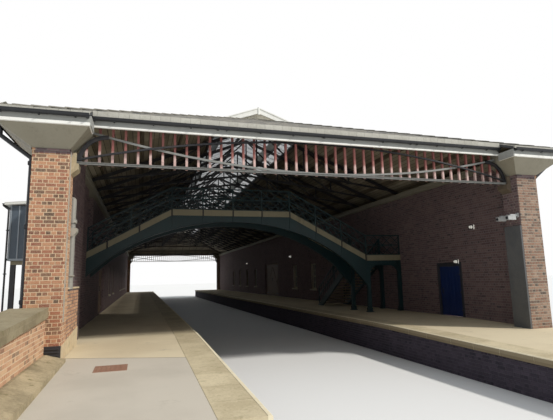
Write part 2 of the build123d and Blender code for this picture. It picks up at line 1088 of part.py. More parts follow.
def bridge_columns():
    """Pairs of square columns under the right landing, each with a beam and brackets."""
    far_x = inner_half_width - column_size
    top = landing_height + kerb_height - band_depth
    under = top - beam_depth
    half_way = bracket_radius * (1 - sqrt(0.5))
    pairs = []
    for y in (bridge_near, bridge_far - column_size):
        near = y + column_size / 2 - bracket_bar / 2
        whole = block((landing_edge, inner_half_width), (near, near + bracket_bar), (under, top))
        for x, root, turn in ((landing_edge, landing_edge + column_size, 1), (far_x, far_x, -1)):
            shaft = block((x, x + column_size), (y, y + column_size), (platform_height, top))
            corner = (root, near, under)
            tip = (root + turn * bracket_radius, near, under)
            heel = (root, near, under - bracket_radius)
            middle = (root + turn * half_way, near, under - half_way)
            face = make_face([ThreePointArc(heel, middle, tip), Line(tip, corner), Line(corner, heel)])
            whole = whole.fuse(shaft, extrude(face, amount=bracket_bar, dir=(0, 1, 0)))
        pairs.append(whole.clean())
    return pairs


def stair_treads(near_x, far_x, start_y, low, steps):
    """Treads that go down along the tracks from a landing."""
    riser = (landing_height - low) / steps
    treads = []
    for index in range(1, steps):
        top = landing_height - riser * index
        first = start_y + stair_going * (index - 1) + tread_gap
        last = start_y + stair_going * index
        treads.append(block((near_x, far_x), (first, last), (top - tread_thickness, top)))
    return treads


def stair_side(near_x, start_y, low, steps):
    """Stringer with its handrail and posts, down to the floor."""
    run = stair_going * steps
    slope = (landing_height - low) / run
    end_y = start_y + run
    top_start = landing_height + kerb_height
    outline = [
        (start_y, top_start),
        (start_y, top_start - stringer_head),
        (end_y + (kerb_height - stringer_head) / slope, low),
        (end_y + kerb_height / slope, low),
    ]
    stringer = along_x(outline, near_x, near_x + stringer_thickness)
    rail_x = near_x + (stringer_thickness - rail_thickness) / 2
    bars = []
    for lift in (rail_height / 2, rail_height - rail_bar / 2):
        rail_end = top_start + lift - slope * run
        bars.append(((start_y, top_start + lift), (end_y, rail_end), rail_bar))
    post_count = max(2, round(run / stair_post_spacing)) + 1
    for y in evenly(start_y + rail_bar / 2, end_y - rail_bar / 2, post_count):
        base = top_start - slope * (y - start_y)
        bars.append(((y, base - rail_bar), (y, base + rail_height), rail_bar))
    rail = lattice_x(bars, rail_x, rail_x + rail_thickness)
    return stringer.fuse(rail).clean()


def right_stair_treads():
    """Treads from the right landing down to the platform."""
    near_x = stair_near + stringer_thickness
    return stair_treads(near_x, near_x + stair_clear, bridge_far, platform_height, stair_steps)


def right_stair_sides():
    """Both stringers of the right stair with their handrails."""
    near_x = stair_near
    far_x = near_x + stringer_thickness + stair_clear
    return [stair_side(x, bridge_far, platform_height, stair_steps) for x in (near_x, far_x)]


def outer_stair_treads():
    """Treads from the outer landing down to the ground beside the left wall."""
    near_x = outer_stair_near + stringer_thickness
    return stair_treads(near_x, near_x + stair_clear, bridge_far + band_proud, 0, outer_stair_steps)


def outer_stair_sides():
    """Both stringers of the outer stair with their handrails."""
    near_x = outer_stair_near
    far_x = near_x + stringer_thickness + stair_clear
    return [stair_side(x, bridge_far + band_proud, 0, outer_stair_steps) for x in (near_x, far_x)]


def stair_house_walls():
    """Panelled sides of the raised stair house with its window opening."""
    near = bridge_near - band_proud - house_panel
    far = bridge_far + band_proud
    front_panel = block(
        (-house_outer - house_panel, -outer_half_width),
        (near, near + house_panel),
        (landing_height, house_top),
    )
    middle = -(outer_half_width + house_outer) / 2
    sill = landing_height + house_window_sill
    window = block(
        (middle - house_window_width / 2, middle + house_window_width / 2),
        (near - house_panel, near + house_panel * 2),
        (sill, sill + house_window_height),
    )
    side_panel = block(
        (-house_outer - house_panel, -house_outer),
        (near + house_panel, far),
        (landing_height, house_top),
    )
    return (front_panel - window).fuse(side_panel).clean()


def stair_house_roof():
    """Lean-to roof of the stair house."""
    near = bridge_near - band_proud - house_panel - house_eave
    far = bridge_far + band_proud + house_eave
    points = [
        (-outer_half_width, house_top + house_roof_fall),
        (-house_outer - house_panel - house_eave, house_top),
        (-house_outer - house_panel - house_eave, house_top + house_roof_thickness),
        (-outer_half_width, house_top + house_roof_fall + house_roof_thickness),
    ]
    return along_y(points, near, far)


def stair_house_posts():
    """Posts that carry the outer landing: one under its band, one under its deck."""
    across = (-house_outer, -house_outer + house_post)
    near = bridge_near - band_proud
    far = bridge_far + band_proud
    under_band = landing_height + kerb_height - band_depth
    under_deck = landing_height - deck_thickness
    return [
        block(across, (near, near + house_post), (0, under_band)),
        block(across, (far - house_post, far), (0, under_deck)),
    ]


def house_pane():
    """Glass of the stair house window."""
    near = bridge_near - band_proud - house_panel
    middle = -(outer_half_width + house_outer) / 2
    sill = landing_height + house_window_sill
    centre = near + house_panel / 2
    return block(
        (middle - house_window_width / 2, middle + house_window_width / 2),
        (centre - pane_thickness / 2, centre + pane_thickness / 2),
        (sill, sill + house_window_height),
    )


def hinge_heights():
    """Heights of the three door hinges."""
    low = platform_height + hinge_end_distance
    high = platform_height + door_opening_height - door_frame_width - hinge_end_distance
    return evenly(low, high, 3)


def hinge_half(z, turn, seat):
    """Half of a door hinge: its knuckle and its strap, above or below its middle."""
    axis_x = inner_half_width - hinge_radius
    axis_y = door_near + door_frame_width + door_clearance / 2
    middle = z + turn * (hinge_length / 4 + hinge_gap / 2)
    knuckle = Pos(axis_x, axis_y, middle) * Cylinder(hinge_radius, hinge_length / 2)
    strap = block(
        (axis_x, seat),
        (axis_y, axis_y + turn * hinge_strap),
        (middle - hinge_length / 4, middle + hinge_length / 4),
    )
    return knuckle.fuse(strap)


def door_frame():
    """Timber frame of the platform door, with the fixed halves of its hinges."""
    top = platform_height + door_opening_height
    depth = (inner_half_width, inner_half_width + door_frame_depth)
    whole = block(depth, (door_near, door_far), (platform_height, top))
    inside = block(
        (inner_half_width - door_frame_depth, inner_half_width + door_frame_depth * 2),
        (door_near + door_frame_width, door_far - door_frame_width),
        (platform_height, top - door_frame_width),
    )
    frame = whole - inside
    for z in hinge_heights():
        frame = frame.fuse(hinge_half(z, -1, inner_half_width))
    return frame.clean()


def platform_door():
    """Door leaf with the moving halves of its hinges and a pull handle."""
    near = door_near + door_frame_width + door_clearance
    far = door_far - door_frame_width - door_clearance
    low = platform_height + door_sill_gap
    high = platform_height + door_opening_height - door_frame_width - door_clearance
    face = inner_half_width + door_recess
    leaf = block((face, face + door_thickness), (near, far), (low, high))
    for z in hinge_heights():
        leaf = leaf.fuse(hinge_half(z, 1, face))
    grip_y = (far - grip_inset - grip_bar / 2, far - grip_inset + grip_bar / 2)
    bottom = (low + high - grip_length) / 2
    bar = block(
        (face - grip_reach, face - grip_reach + grip_bar),
        grip_y,
        (bottom, bottom + grip_length),
    )
    lower_stand = block((face - grip_reach, face), grip_y, (bottom, bottom + grip_bar))
    top = bottom + grip_length
    upper_stand = block((face - grip_reach, face), grip_y, (top - grip_bar, top))
    return leaf.fuse(bar, lower_stand, upper_stand).clean()


def sash(distance, side):
    """Window frame with a meeting rail, set in the middle of the wall."""
    middle = front + distance
    low = platform_height + window_sill
    x = inner_half_width + wall_thickness / 2
    depth = (x - sash_depth / 2, x + sash_depth / 2)
    whole = block(depth, (middle - window_width / 2, middle + window_width / 2), (low, low + window_height))
    light_height = (window_height - sash_width * 3) / 2
    for start in (low + sash_width, low + sash_width * 2 + light_height):
        whole = whole - block(
            (x - sash_depth, x + sash_depth),
            (middle - window_width / 2 + sash_width, middle + window_width / 2 - sash_width),
            (start, start + light_height),
        )
    return whole if side > 0 else mirror_x(whole)


def panes(distance, side):
    """The two panes of one window."""
    middle = front + distance
    low = platform_height + window_sill
    x = inner_half_width + wall_thickness / 2
    light_height = (window_height - sash_width * 3) / 2
    glass = []
    for start in (low + sash_width, low + sash_width * 2 + light_height):
        pane = block(
            (x - pane_thickness / 2, x + pane_thickness / 2),
            (middle - window_width / 2 + sash_width, middle + window_width / 2 - sash_width),
            (start, start + light_height),
        )
        glass.append(pane if side > 0 else mirror_x(pane))
    return glass


def window_frames():
    """Frames of all the windows on both walls."""
    right = [sash(distance, 1) for distance in right_windows]
    return right + [sash(distance, -1) for distance in left_windows]


def window_panes():
    """Glass of all the windows, with the stair house window."""
    right = [pane for distance in right_windows for pane in panes(distance, 1)]
    left = [pane for distance in left_windows for pane in panes(distance, -1)]
    return right + left + [house_pane()]


def window_sills():
    """Stone sills under the windows, on the platform side."""
    low = platform_height + window_sill - sill_height
    sills = []
    for side, distances in ((1, right_windows), (-1, left_windows)):
        for distance in distances:
            middle = front + distance
            sill = block(
                (inner_half_width - sill_reach, inner_half_width),
                (middle - window_width / 2 - sill_reach, middle + window_width / 2 + sill_reach),
                (low, low + sill_height),
            )
            sills.append(sill if side > 0 else mirror_x(sill))
    return sills


def closed_doors():
    """Boarded doors that close the two wide doorways."""
    x = inner_half_width + wall_thickness / 2
    right_middle = front + right_doorway
    right = block(
        (x - closed_door_thickness / 2, x + closed_door_thickness / 2),
        (right_middle - right_doorway_width / 2, right_middle + right_doorway_width / 2),
        (platform_height, platform_height + right_doorway_height),
    )
    left_middle = front + left_doorway
    left = block(
        (x - closed_door_thickness / 2, x + closed_door_thickness / 2),
        (left_middle - left_doorway_width / 2, left_middle + left_doorway_width / 2),
        (platform_height, platform_height + left_doorway_height),
    )
    return [right, mirror_x(left)]


def boundary_wall():
    """Low wall that runs forward and slightly down from the left front pier."""
    outline = [
        (apron_front, 0),
        (front, 0),
        (front, boundary_height),
        (apron_front, boundary_height - boundary_fall),
    ]
    return along_x(outline, -boundary_inner - boundary_thickness, -boundary_inner)


def boundary_coping():
    """Stone coping on the low wall."""
    end_height = boundary_height - boundary_fall
    outline = [
        (apron_front, end_height),
        (front, boundary_height),
        (front, boundary_height + boundary_coping_height),
        (apron_front, end_height + boundary_coping_height),
    ]
    proud = boundary_coping_proud
    return along_x(outline, -boundary_inner - boundary_thickness - proud, -boundary_inner + proud)


def boundary_base():
    """Splayed rendered base along the platform side of the low wall."""
    low = platform_height - ramp_fall
    top = platform_height + boundary_base_height
    section = [
        (-boundary_inner, low),
        (-boundary_inner + boundary_base_width, low),
        (-boundary_inner + boundary_base_width, low + ramp_fall),
        (-boundary_inner + boundary_base_lip, top),
        (-boundary_inner, top),
    ]
    return along_y(section, apron_front, front) - left_platform()


def riser_box():
    """Rendered strip on the inner face of the right front pier."""
    strip = block(
        (pier_inner - riser_depth, pier_inner),
        (front, front + pier_depth),
        (platform_height - ramp_fall, platform_height + riser_height),
    )
    return strip - platform(outer_half_width)


def post_pipe():
    """Round-headed grey pipe that stands on the ledge of the left return."""
    x = -return_inner + post_pipe_radius
    y = front + pier_depth + post_pipe_gap + collar_radius
    low = platform_height + ledge_height
    section = RegularPolygon(post_pipe_radius, pipe_sides)
    shaft = extrude(Pos(x, y, low) * section, amount=post_pipe_height)
    head = extrude(Pos(x, y, low + post_pipe_height) * section, amount=post_pipe_cap, taper=45)
    ring = Pos(x, y, low + post_pipe_height - collar_distance)
    collar = extrude(ring * RegularPolygon(collar_radius, pipe_sides), amount=collar_height)
    return shaft.fuse(head, collar).clean() - left_wall_front()


def security_camera():
    """Two cameras on short arms at the right front pier."""
    z = platform_height + riser_height + camera_length
    cameras = []
    for y in (front + camera_body, front + pier_depth - camera_body):
        arm = block(
            (pier_inner - camera_length, pier_inner),
            (y - camera_arm / 2, y + camera_arm / 2),
            (z, z + camera_arm),
        )
        body = block(
            (pier_inner - camera_length - camera_body, pier_inner - camera_body),
            (y - camera_body / 2, y + camera_body / 2),
            (z - camera_body, z),
        )
        cameras.append(arm.fuse(body).clean())
    return cameras


def wall_lamp(y, z):
    """Bulkhead lamp on the right-hand wall."""
    plate = block(
        (inner_half_width - lamp_plate_thickness, inner_half_width),
        (y - lamp_plate / 2, y + lamp_plate / 2),
        (z - lamp_plate / 2, z + lamp_plate / 2),
    )
    base = Plane(origin=(inner_half_width - lamp_plate_thickness, y, z), z_dir=(-1, 0, 0))
    section = base * RegularPolygon(lamp_globe_radius, pipe_sides)
    globe = extrude(section, amount=lamp_globe_reach, taper=10)
    return plate.fuse(globe).clean()


def wall_lamps():
    """Bulkhead lamps above the platform and beside its door."""
    lamps = [wall_lamp(front + distance, platform_height + lamp_height) for distance in lamp_distances]
    lamps.append(wall_lamp(door_near + door_lamp_distance, platform_height + door_lamp_height))
    return lamps


def both_ends(solids):
    """The given solids at both ends of the shed."""
    return list(solids) + [mirror_y(item) for item in solids]


def both_sides(solids):
    """The given solids on both sides of the tracks."""
    return list(solids) + [mirror_x(item) for item in solids]


# Shift that puts the origin at the bottom centre of the whole building
low_x = -house_outer - house_panel - house_eave
high_x = roof_half_width + gutter_width
low_y = apron_front
high_y = -roof_front + gutter_width
origin_x = (low_x + high_x) / 2
origin_y = (low_y + high_y) / 2


def all_pieces():
    """Every named piece with its solids."""
    front_girder = girder()
    right_slope = side_slope()
    return {
        "left_platform": [left_platform()],
        "right_platform": [platform(outer_half_width)],
        "platform_copings": copings(),
        "left_wall_front": [left_wall_front()],
        "left_wall_under_bridge": [left_wall_under_bridge()],
        "left_wall_back": [left_wall_back()],
        "right_wall_front": [right_wall_front()],
        "right_wall_under_door": [right_wall_under_door()],
        "right_wall_over_door": [right_wall_over_door()],
        "right_wall_back": [right_wall_back()],
        "corner_piers": four_corners(pier()),
        "corner_boxes": four_corners(corner_box()),
        "stone_dressings": four_corners(padstone()) + [boundary_coping()],
        "end_girders": both_ends(front_girder),
        "girder_arches": both_ends([girder_arch()]),
        "girder_bars": both_ends(girder_bars()),
        "left_roof_slope": [mirror_x(right_slope)],
        "right_roof_slope": [right_slope],
        "hipped_roof_ends": both_ends([hipped_end()]),
        "roof_glazing": both_sides([skylight(), lantern_slope()]),
        "lantern_sides": both_sides([lantern_side()]),
        "lantern_gables": both_ends([lantern_gable()]),
        "lantern_ridge": [lantern_ridge()],
        "roof_trusses": [truss(place) for place in truss_places()],
        "roof_purlins": both_sides(side_purlins()) + both_ends(end_purlins()),
        "hip_end_rafters": four_corners(hip_rafter()) + both_ends(jack_rafters()),
        "wall_plates": wall_plates(),
        "side_soffits": both_sides([side_soffit()]),
        "fascia_boards": (
            both_sides([side_fascia()])
            + four_corners(corner_fascia())
            + both_ends([middle_fascia()])
        ),
        "gutters": both_sides([side_gutter()]) + both_ends(front_gutters()),
        "downpipes": four_corners(downpipe()) + [post_pipe()],
        "bridge_ribs": [rib(bridge_near), rib(bridge_far - rib_thickness)],
        "bridge_bands": [
            band(bridge_near, -house_outer, inner_half_width),
            band(bridge_far - rib_thickness, outer_landing_edge, landing_edge),
        ],
        "bridge_decks": bridge_deck(),
        "bridge_railings": [
            bridge_railing(bridge_near + band_proud, inner_half_width),
            bridge_railing(bridge_far - rib_thickness + band_proud, landing_edge),
        ],
        "bridge_columns": bridge_columns(),
        "stair_treads": bridge_treads() + right_stair_treads() + outer_stair_treads(),
        "stair_sides": right_stair_sides() + outer_stair_sides(),
        "stair_house_walls": [stair_house_walls()],
        "stair_house_roof": [stair_house_roof()],
        "stair_house_posts": stair_house_posts(),
        "door_frame": [door_frame()],
        "platform_door": [platform_door()],
        "window_frames": window_frames() + window_sills(),
        "window_panes": window_panes(),
        "closed_doors": closed_doors(),
        "boundary_wall": [boundary_wall()],
        "wall_lamps": wall_lamps(),
        "security_camera": security_camera(),
        "pier_riser": [riser_box(), boundary_base()],
    }


os.makedirs("parts", exist_ok=True)
for name, solids in all_pieces().items():
    placed = [Pos(-origin_x, -origin_y, 0) * item for item in solids]
    loose = [solid for item in placed for solid in item.solids()]
    export_step(Compound(children=loose), "parts/" + name + ".step")
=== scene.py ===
import math
import random
from functools import cached_property
from itertools import product

import bmesh
import bpy
from mathutils import Matrix, Vector


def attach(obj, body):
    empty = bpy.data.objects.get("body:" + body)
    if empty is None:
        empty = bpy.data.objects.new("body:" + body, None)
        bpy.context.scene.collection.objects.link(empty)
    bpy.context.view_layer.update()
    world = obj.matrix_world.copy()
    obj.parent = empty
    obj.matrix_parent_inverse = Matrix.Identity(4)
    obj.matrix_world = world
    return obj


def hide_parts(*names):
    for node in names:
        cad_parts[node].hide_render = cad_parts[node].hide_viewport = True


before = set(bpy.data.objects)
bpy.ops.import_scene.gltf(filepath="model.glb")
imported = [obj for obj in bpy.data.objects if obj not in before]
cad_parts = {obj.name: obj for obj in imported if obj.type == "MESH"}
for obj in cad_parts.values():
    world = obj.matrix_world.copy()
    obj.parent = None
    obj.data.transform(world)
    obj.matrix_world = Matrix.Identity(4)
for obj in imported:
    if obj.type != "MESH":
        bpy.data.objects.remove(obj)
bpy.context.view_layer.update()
random.seed(7)

SHED = "shed"
DOOR = "door_leaf"

# Sizes of the model in metres, in shed coordinates: x from the track centre line,
# y from the middle of the shed and z from the track bed. SHIFT turns them into the frame's.
SHIFT = Vector((0.41, 1.1075, 0.0))
FRONT = -15.0
INNER = 3.475
OUTER = 3.67
PIER_INNER = 3.275
RETURN_INNER = 3.32
PIER_DEPTH = 0.32
BEHIND_PIER = FRONT + PIER_DEPTH
LEDGE_END = BEHIND_PIER + 0.93
RETURN_END = BEHIND_PIER + 1.53
LEDGE_TOP = 1.25
WALL_TOP = 3.13
PLATFORM = 0.5
COPING_EDGE = 1.575
COPING_DEPTH = 0.075
EAVE = 3.225
BOX_FOOT = EAVE - 0.35
RISE = 0.4
ROOF_HALF = 4.02
ROOF_FRONT = -15.225
RIDGE_FRONT = ROOF_FRONT + ROOF_HALF
ROOF_TOP = 0.04
BOX_INNER = 3.05
MIDDLE_EDGE = -14.92
SKYLIGHT = 1.0
LANTERN = 0.7
LANTERN_FOOT = EAVE + RISE * (ROOF_HALF - LANTERN) + ROOF_TOP
LANTERN_EAVE = LANTERN_FOOT + 0.235
LANTERN_RISE = 0.37
LANTERN_APEX = LANTERN_EAVE + LANTERN_RISE * LANTERN
GIRDER_FRONT = -14.835
PIPE_LINE = 14.84
BRIDGE_NEAR = -11.2
BRIDGE_FAR = -10.3
BRIDGE_WALL = -11.25
DECK = 2.75
LANDING = 1.765
APRON = -17.5
RAMP_END = -13.5
RAMP_FALL = 0.08
PAVING_SEAM = -14.634

# Brick and mortar at half size
COURSE = 0.0425
STRETCHER = 0.115
HEADER = 0.0575
JOINT = 0.008


# ---- Camera at the photograph's viewing angle
def make_camera():
    data = bpy.data.cameras.new("camera")
    data.sensor_width = 36.0
    data.lens = 28.76
    data.clip_start = 0.05
    data.clip_end = 200.0
    camera = bpy.data.objects.new("camera", data)
    bpy.context.scene.collection.objects.link(camera)
    yaw = math.radians(16.973)
    pitch = math.radians(8.686)
    roll = -0.0233
    forward = Vector((math.sin(yaw) * math.cos(pitch), math.cos(yaw) * math.cos(pitch), math.sin(pitch)))
    side = Vector((math.cos(yaw), -math.sin(yaw), 0.0))
    up = side.cross(forward)
    right = side * math.cos(roll) + up * math.sin(roll)
    top = up * math.cos(roll) - side * math.sin(roll)
    turn = Matrix((right, top, -forward)).transposed()
    camera.matrix_world = Matrix.Translation((-2.025, -19.3975, 1.333)) @ turn.to_4x4()
    bpy.context.scene.camera = camera


# ---- Stage and light
def make_stage():
    mesh = bpy.data.meshes.new("floor")
    build = bmesh.new()
    bmesh.ops.create_grid(build, x_segments=1, y_segments=1, size=120.0)
    build.to_mesh(mesh)
    build.free()
    floor = bpy.data.objects.new("floor", mesh)
    floor.location.z = -0.002
    bpy.context.scene.collection.objects.link(floor)
    material = bpy.data.materials.new("floor_white")
    material.use_nodes = True
    shader = material.node_tree.nodes["Principled BSDF"]
    shader.inputs["Base Color"].default_value = (0.88, 0.88, 0.87, 1)
    shader.inputs["Roughness"].default_value = 0.9
    mesh.materials.append(material)


def make_light():
    """A soft sun from the front right and a pale sky, which the camera and reflections see as white."""
    world = bpy.data.worlds.new("studio")
    world.use_nodes = True
    tree = world.node_tree
    sky = tree.nodes["Background"]
    sky.inputs["Color"].default_value = (0.9, 0.95, 1.0, 1)
    sky.inputs["Strength"].default_value = 0.58
    white = tree.nodes.new("ShaderNodeBackground")
    white.inputs["Color"].default_value = (1, 1, 1, 1)
    white.inputs["Strength"].default_value = 1.0
    rays = tree.nodes.new("ShaderNodeLightPath")
    seen = rays.outputs["Is Camera Ray"]
    for other in ("Is Glossy Ray", "Is Transmission Ray"):
        either = tree.nodes.new("ShaderNodeMath")
        either.operation = "MAXIMUM"
        tree.links.new(seen, either.inputs[0])
        tree.links.new(rays.outputs[other], either.inputs[1])
        seen = either.outputs[0]
    blend = tree.nodes.new("ShaderNodeMixShader")
    tree.links.new(seen, blend.inputs[0])
    tree.links.new(sky.outputs[0], blend.inputs[1])
    tree.links.new(white.outputs[0], blend.inputs[2])
    tree.links.new(blend.outputs[0], tree.nodes["World Output"].inputs["Surface"])
    bpy.context.scene.world = world
    data = bpy.data.lights.new("key", "SUN")
    data.energy = 2.5
    data.angle = math.radians(4)
    data.color = (1.0, 0.96, 0.9)
    key = bpy.data.objects.new("key", data)
    key.rotation_euler = Vector((-1.6, 1.3, -1.75)).to_track_quat("-Z", "Y").to_euler()
    bpy.context.scene.collection.objects.link(key)


# ---- Node helpers
def tone(colour):
    """Linear colour of an ordinary screen colour, such as #c8b090."""
    channels = []
    for start in (1, 3, 5):
        share = int(colour[start:start + 2], 16) / 255
        channels.append(share / 12.92 if share <= 0.04045 else ((share + 0.055) / 1.055) ** 2.4)
    return (*channels, 1.0)


def tones(palette):
    return [tone(colour) for colour in palette.split()]


class Shader:
    """A material under construction."""

    def __init__(self, name, roughness=0.7, metallic=0.0, specular=0.4):
        self.material = bpy.data.materials.new(name)
        self.material.use_nodes = True
        self.tree = self.material.node_tree
        self.out = self.tree.nodes["Principled BSDF"]
        self.out.inputs["Roughness"].default_value = roughness
        self.out.inputs["Metallic"].default_value = metallic
        self.out.inputs["Specular IOR Level"].default_value = specular
        self.place = self.tree.nodes.new("ShaderNodeTexCoord").outputs["Object"]
        self.geometry = self.tree.nodes.new("ShaderNodeNewGeometry")

    def add(self, kind, inputs=None, **settings):
        item = self.tree.nodes.new(kind)
        for key, value in settings.items():
            setattr(item, key, value)
        for key, value in (inputs or {}).items():
            self.plug(value, item.inputs[key])
        return item

    def plug(self, value, socket):
        """Links an output to a socket, or sets the socket's own number or screen colour."""
        if isinstance(value, bpy.types.NodeSocket):
            self.tree.links.new(value, socket)
        else:
            socket.default_value = tone(value) if isinstance(value, str) else value

    def math(self, operation, first, second=0.0, third=0.0, clamp=False):
        item = self.add("ShaderNodeMath", operation=operation, use_clamp=clamp)
        for index, value in enumerate((first, second, third)):
            self.plug(value, item.inputs[index])
        return item.outputs[0]

    def plus(self, first, second):
        return self.math("ADD", first, second)

    def minus(self, first, second):
        return self.math("SUBTRACT", first, second)

    def times(self, first, second):
        return self.math("MULTIPLY", first, second)

    def over(self, first, second):
        return self.math("DIVIDE", first, second)

    def least(self, first, second):
        return self.math("MINIMUM", first, second)

    def above(self, value, limit):
        return self.math("GREATER_THAN", value, limit)

    def below(self, value, limit):
        return self.math("LESS_THAN", value, limit)

    def size(self, value):
        return self.math("ABSOLUTE", value)

    def floor(self, value):
        return self.math("FLOOR", value)

    def fraction(self, value):
        return self.math("FRACT", value)

    @cached_property
    def axes(self):
        """x, y and z of the place on the object."""
        return self.split(self.place)

    @cached_property
    def facing(self):
        """x, y and z of the true normal."""
        return self.split(self.geometry.outputs["True Normal"])

    def split(self, vector):
        return self.add("ShaderNodeSeparateXYZ", {0: vector}).outputs

    def join(self, x, y, z):
        return self.add("ShaderNodeCombineXYZ", {0: x, 1: y, 2: z}).outputs[0]

    def noise(self, scale, detail=3.0, rough=0.55, vector=None, stretch=None):
        vector = vector or self.place
        if stretch:
            scaled = self.add("ShaderNodeVectorMath", {0: vector, 1: stretch}, operation="MULTIPLY")
            vector = scaled.outputs[0]
        return self.add(
            "ShaderNodeTexNoise", {"Vector": vector, "Scale": scale, "Detail": detail, "Roughness": rough}
        ).outputs["Fac"]

    def ramp(self, value, *stops):
        item = self.add("ShaderNodeValToRGB", {0: value})
        ramp = item.color_ramp
        while len(ramp.elements) < len(stops):
            ramp.elements.new(0.5)
        for element, (place, colour) in zip(ramp.elements, stops):
            element.position = place
            element.color = tone(colour) if isinstance(colour, str) else colour
        return item.outputs[0]

    def step(self, value, low, high):
        """0 below low, 1 above high, smooth between."""
        item = self.add("ShaderNodeMapRange", {0: value, 1: low, 2: high}, interpolation_type="SMOOTHSTEP")
        return item.outputs[0]

    def mix(self, share, first, second, blend="MIX"):
        item = self.add("ShaderNodeMix", data_type="RGBA", blend_type=blend)
        self.plug(share, item.inputs[0])
        self.plug(first, item.inputs[6])
        self.plug(second, item.inputs[7])
        return item.outputs[2]

    def colour(self, value):
        self.plug(value, self.out.inputs["Base Color"])

    def rough(self, value):
        self.plug(value, self.out.inputs["Roughness"])

    def bump(self, height, distance, strength=0.6):
        item = self.add("ShaderNodeBump", {"Strength": strength, "Distance": distance, "Height": height})
        self.plug(item.outputs[0], self.out.inputs["Normal"])


# ---- Materials
def brick_pattern(mat):
    """Cells of an English bond on upright faces: mortar mask and one random value a brick."""
    x, y, z = mat.axes
    across = mat.above(mat.size(mat.facing[0]), 0.5)
    along = mat.plus(mat.times(across, y), mat.times(mat.minus(1.0, across), x))
    row_place = mat.over(z, COURSE)
    row = mat.floor(row_place)
    odd = mat.math("MODULO", mat.size(row), 2.0)
    pitch = mat.plus(HEADER, mat.times(odd, STRETCHER - HEADER))
    offset = mat.times(mat.minus(1.0, odd), HEADER * 0.5)
    cell_place = mat.over(mat.plus(along, offset), pitch)
    cell = mat.floor(cell_place)
    share_u = mat.minus(cell_place, cell)
    share_z = mat.minus(row_place, row)
    edge_u = mat.times(mat.least(share_u, mat.minus(1.0, share_u)), pitch)
    edge_z = mat.times(mat.least(share_z, mat.minus(1.0, share_z)), COURSE)
    edge = mat.least(edge_u, edge_z)
    wobble = mat.times(mat.minus(mat.noise(90.0, 2.0), 0.5), 0.0016)
    body = mat.step(mat.plus(edge, wobble), JOINT * 0.38, JOINT * 0.6)
    seed = mat.join(cell, row, mat.times(across, 37.0))
    noise = mat.add("ShaderNodeTexWhiteNoise", {"Vector": seed}, noise_dimensions="3D")
    return body, noise.outputs["Value"], noise.outputs["Color"], odd


SUNLIT = ("#be8c6a #a4644a #844c3c #463630 #e8d3b2", 0.24)
# Paler brick, partly painted sunlight: the boundary wall, and the left pier's faces that look towards +x.
PALE_SUNLIT_TONES = ("#d8b28e #c89878 #ac785e #605048 #e8d8ba", 0.12)
# Greyer, darker brick for the right half of the piers.
GREY_RIGHT_TONES = ("#a48876 #926c58 #765648 #3c3634 #b8b2a4", 0.2)
# Painted shade: darker, bluer brick for the inner wall faces and the right pier's inner faces.
INNER_SHADE_TONES = ("#7e6666 #6e5658 #5c484c #423a40 #8a8280", 0.1)
# Painted shade: dark bluish brick for the platforms' faces towards the track.
TRACK_SHADE_TONES = ("#4c4450 #403944 #36313c #282630 #58545c", 0.1)


def brick_tones(mat, pattern, palette, burnt_share):
    """Colour of one brickwork palette: bricks that differ, burnt headers, grain and lime joints."""
    body, chance, colours, odd = pattern
    pale, mid, deep, burnt, mortar = tones(palette)
    other = mat.split(colours)
    base = mat.ramp(chance, (0.0, deep), (0.35, mid), (0.72, pale), (1.0, mid))
    limit = mat.plus(burnt_share, mat.times(mat.minus(1.0, odd), burnt_share * 0.5))
    dark = mat.below(other[1], limit)
    depth = mat.plus(0.35, mat.times(other[2], 0.6))
    base = mat.mix(mat.times(dark, depth), base, burnt)
    grain = mat.noise(150.0, 4.0, 0.7)
    base = mat.mix(mat.step(grain, 0.35, 0.8), base, mat.mix(0.5, base, mortar))
    stain = mat.noise(1.3, 5.0, 0.65)
    base = mat.mix(mat.times(mat.step(stain, 0.45, 0.7), 0.35), base, deep)
    lime = mat.mix(mat.noise(60.0, 3.0), mortar, mat.mix(0.4, mortar, deep))
    return mat.mix(body, lime, base), grain


def make_brick(name, base, *layers):
    """Brickwork in one palette; each layer is a mask of x and facing, and the palette it brings."""
    mat = Shader(name, 0.9, specular=0.25)
    pattern = brick_pattern(mat)
    colour, grain = brick_tones(mat, pattern, *base)
    x = mat.minus(mat.axes[0], SHIFT.x)
    for mask, palette in layers:
        other, grain = brick_tones(mat, pattern, *palette)
        colour = mat.mix(mask(mat, x, mat.facing[0]), colour, other)
    mat.colour(colour)
    height = mat.plus(mat.times(pattern[0], 0.8), mat.times(grain, 0.35))
    mat.bump(height, 0.0022, 0.75)
    return mat.material


# The outer wall faces, which take the sunlit palette; the inner faces keep the painted-shade one.
def outer_faces(mat, x, facing):
    return mat.step(mat.size(x), OUTER - 0.04, OUTER - 0.02)


def right_half(mat, x, facing):
    return mat.above(x, 0.0)


# The right pier's inner faces, which take the painted-shade palette.
def right_reveals(mat, x, facing):
    return mat.times(mat.above(x, 0.0), mat.below(facing, -0.5))


# The left pier's inner faces, which take the paler palette as painted sunlight.
def left_reveals(mat, x, facing):
    return mat.times(mat.below(x, 0.0), mat.above(facing, 0.5))


def make_slate():
    mat = Shader("slate", 0.62, specular=0.5)
    chance = mat.geometry.outputs["Random Per Island"]
    base = mat.ramp(
        chance, (0.0, "#6a6c6c"), (0.4, "#868480"), (0.75, "#9b978f"), (1.0, "#aca79b")
    )
    moss = mat.step(mat.noise(2.6, 6.0, 0.7), 0.56, 0.68)
    base = mat.mix(mat.times(moss, 0.75), base, "#686248")
    lichen = mat.step(mat.noise(34.0, 4.0, 0.7), 0.62, 0.7)
    base = mat.mix(mat.times(lichen, 0.5), base, "#a09c8a")
    mat.colour(base)
    mat.bump(mat.noise(48.0, 5.0, 0.7, stretch=(1.0, 1.0, 3.0)), 0.004, 0.5)
    return mat.material


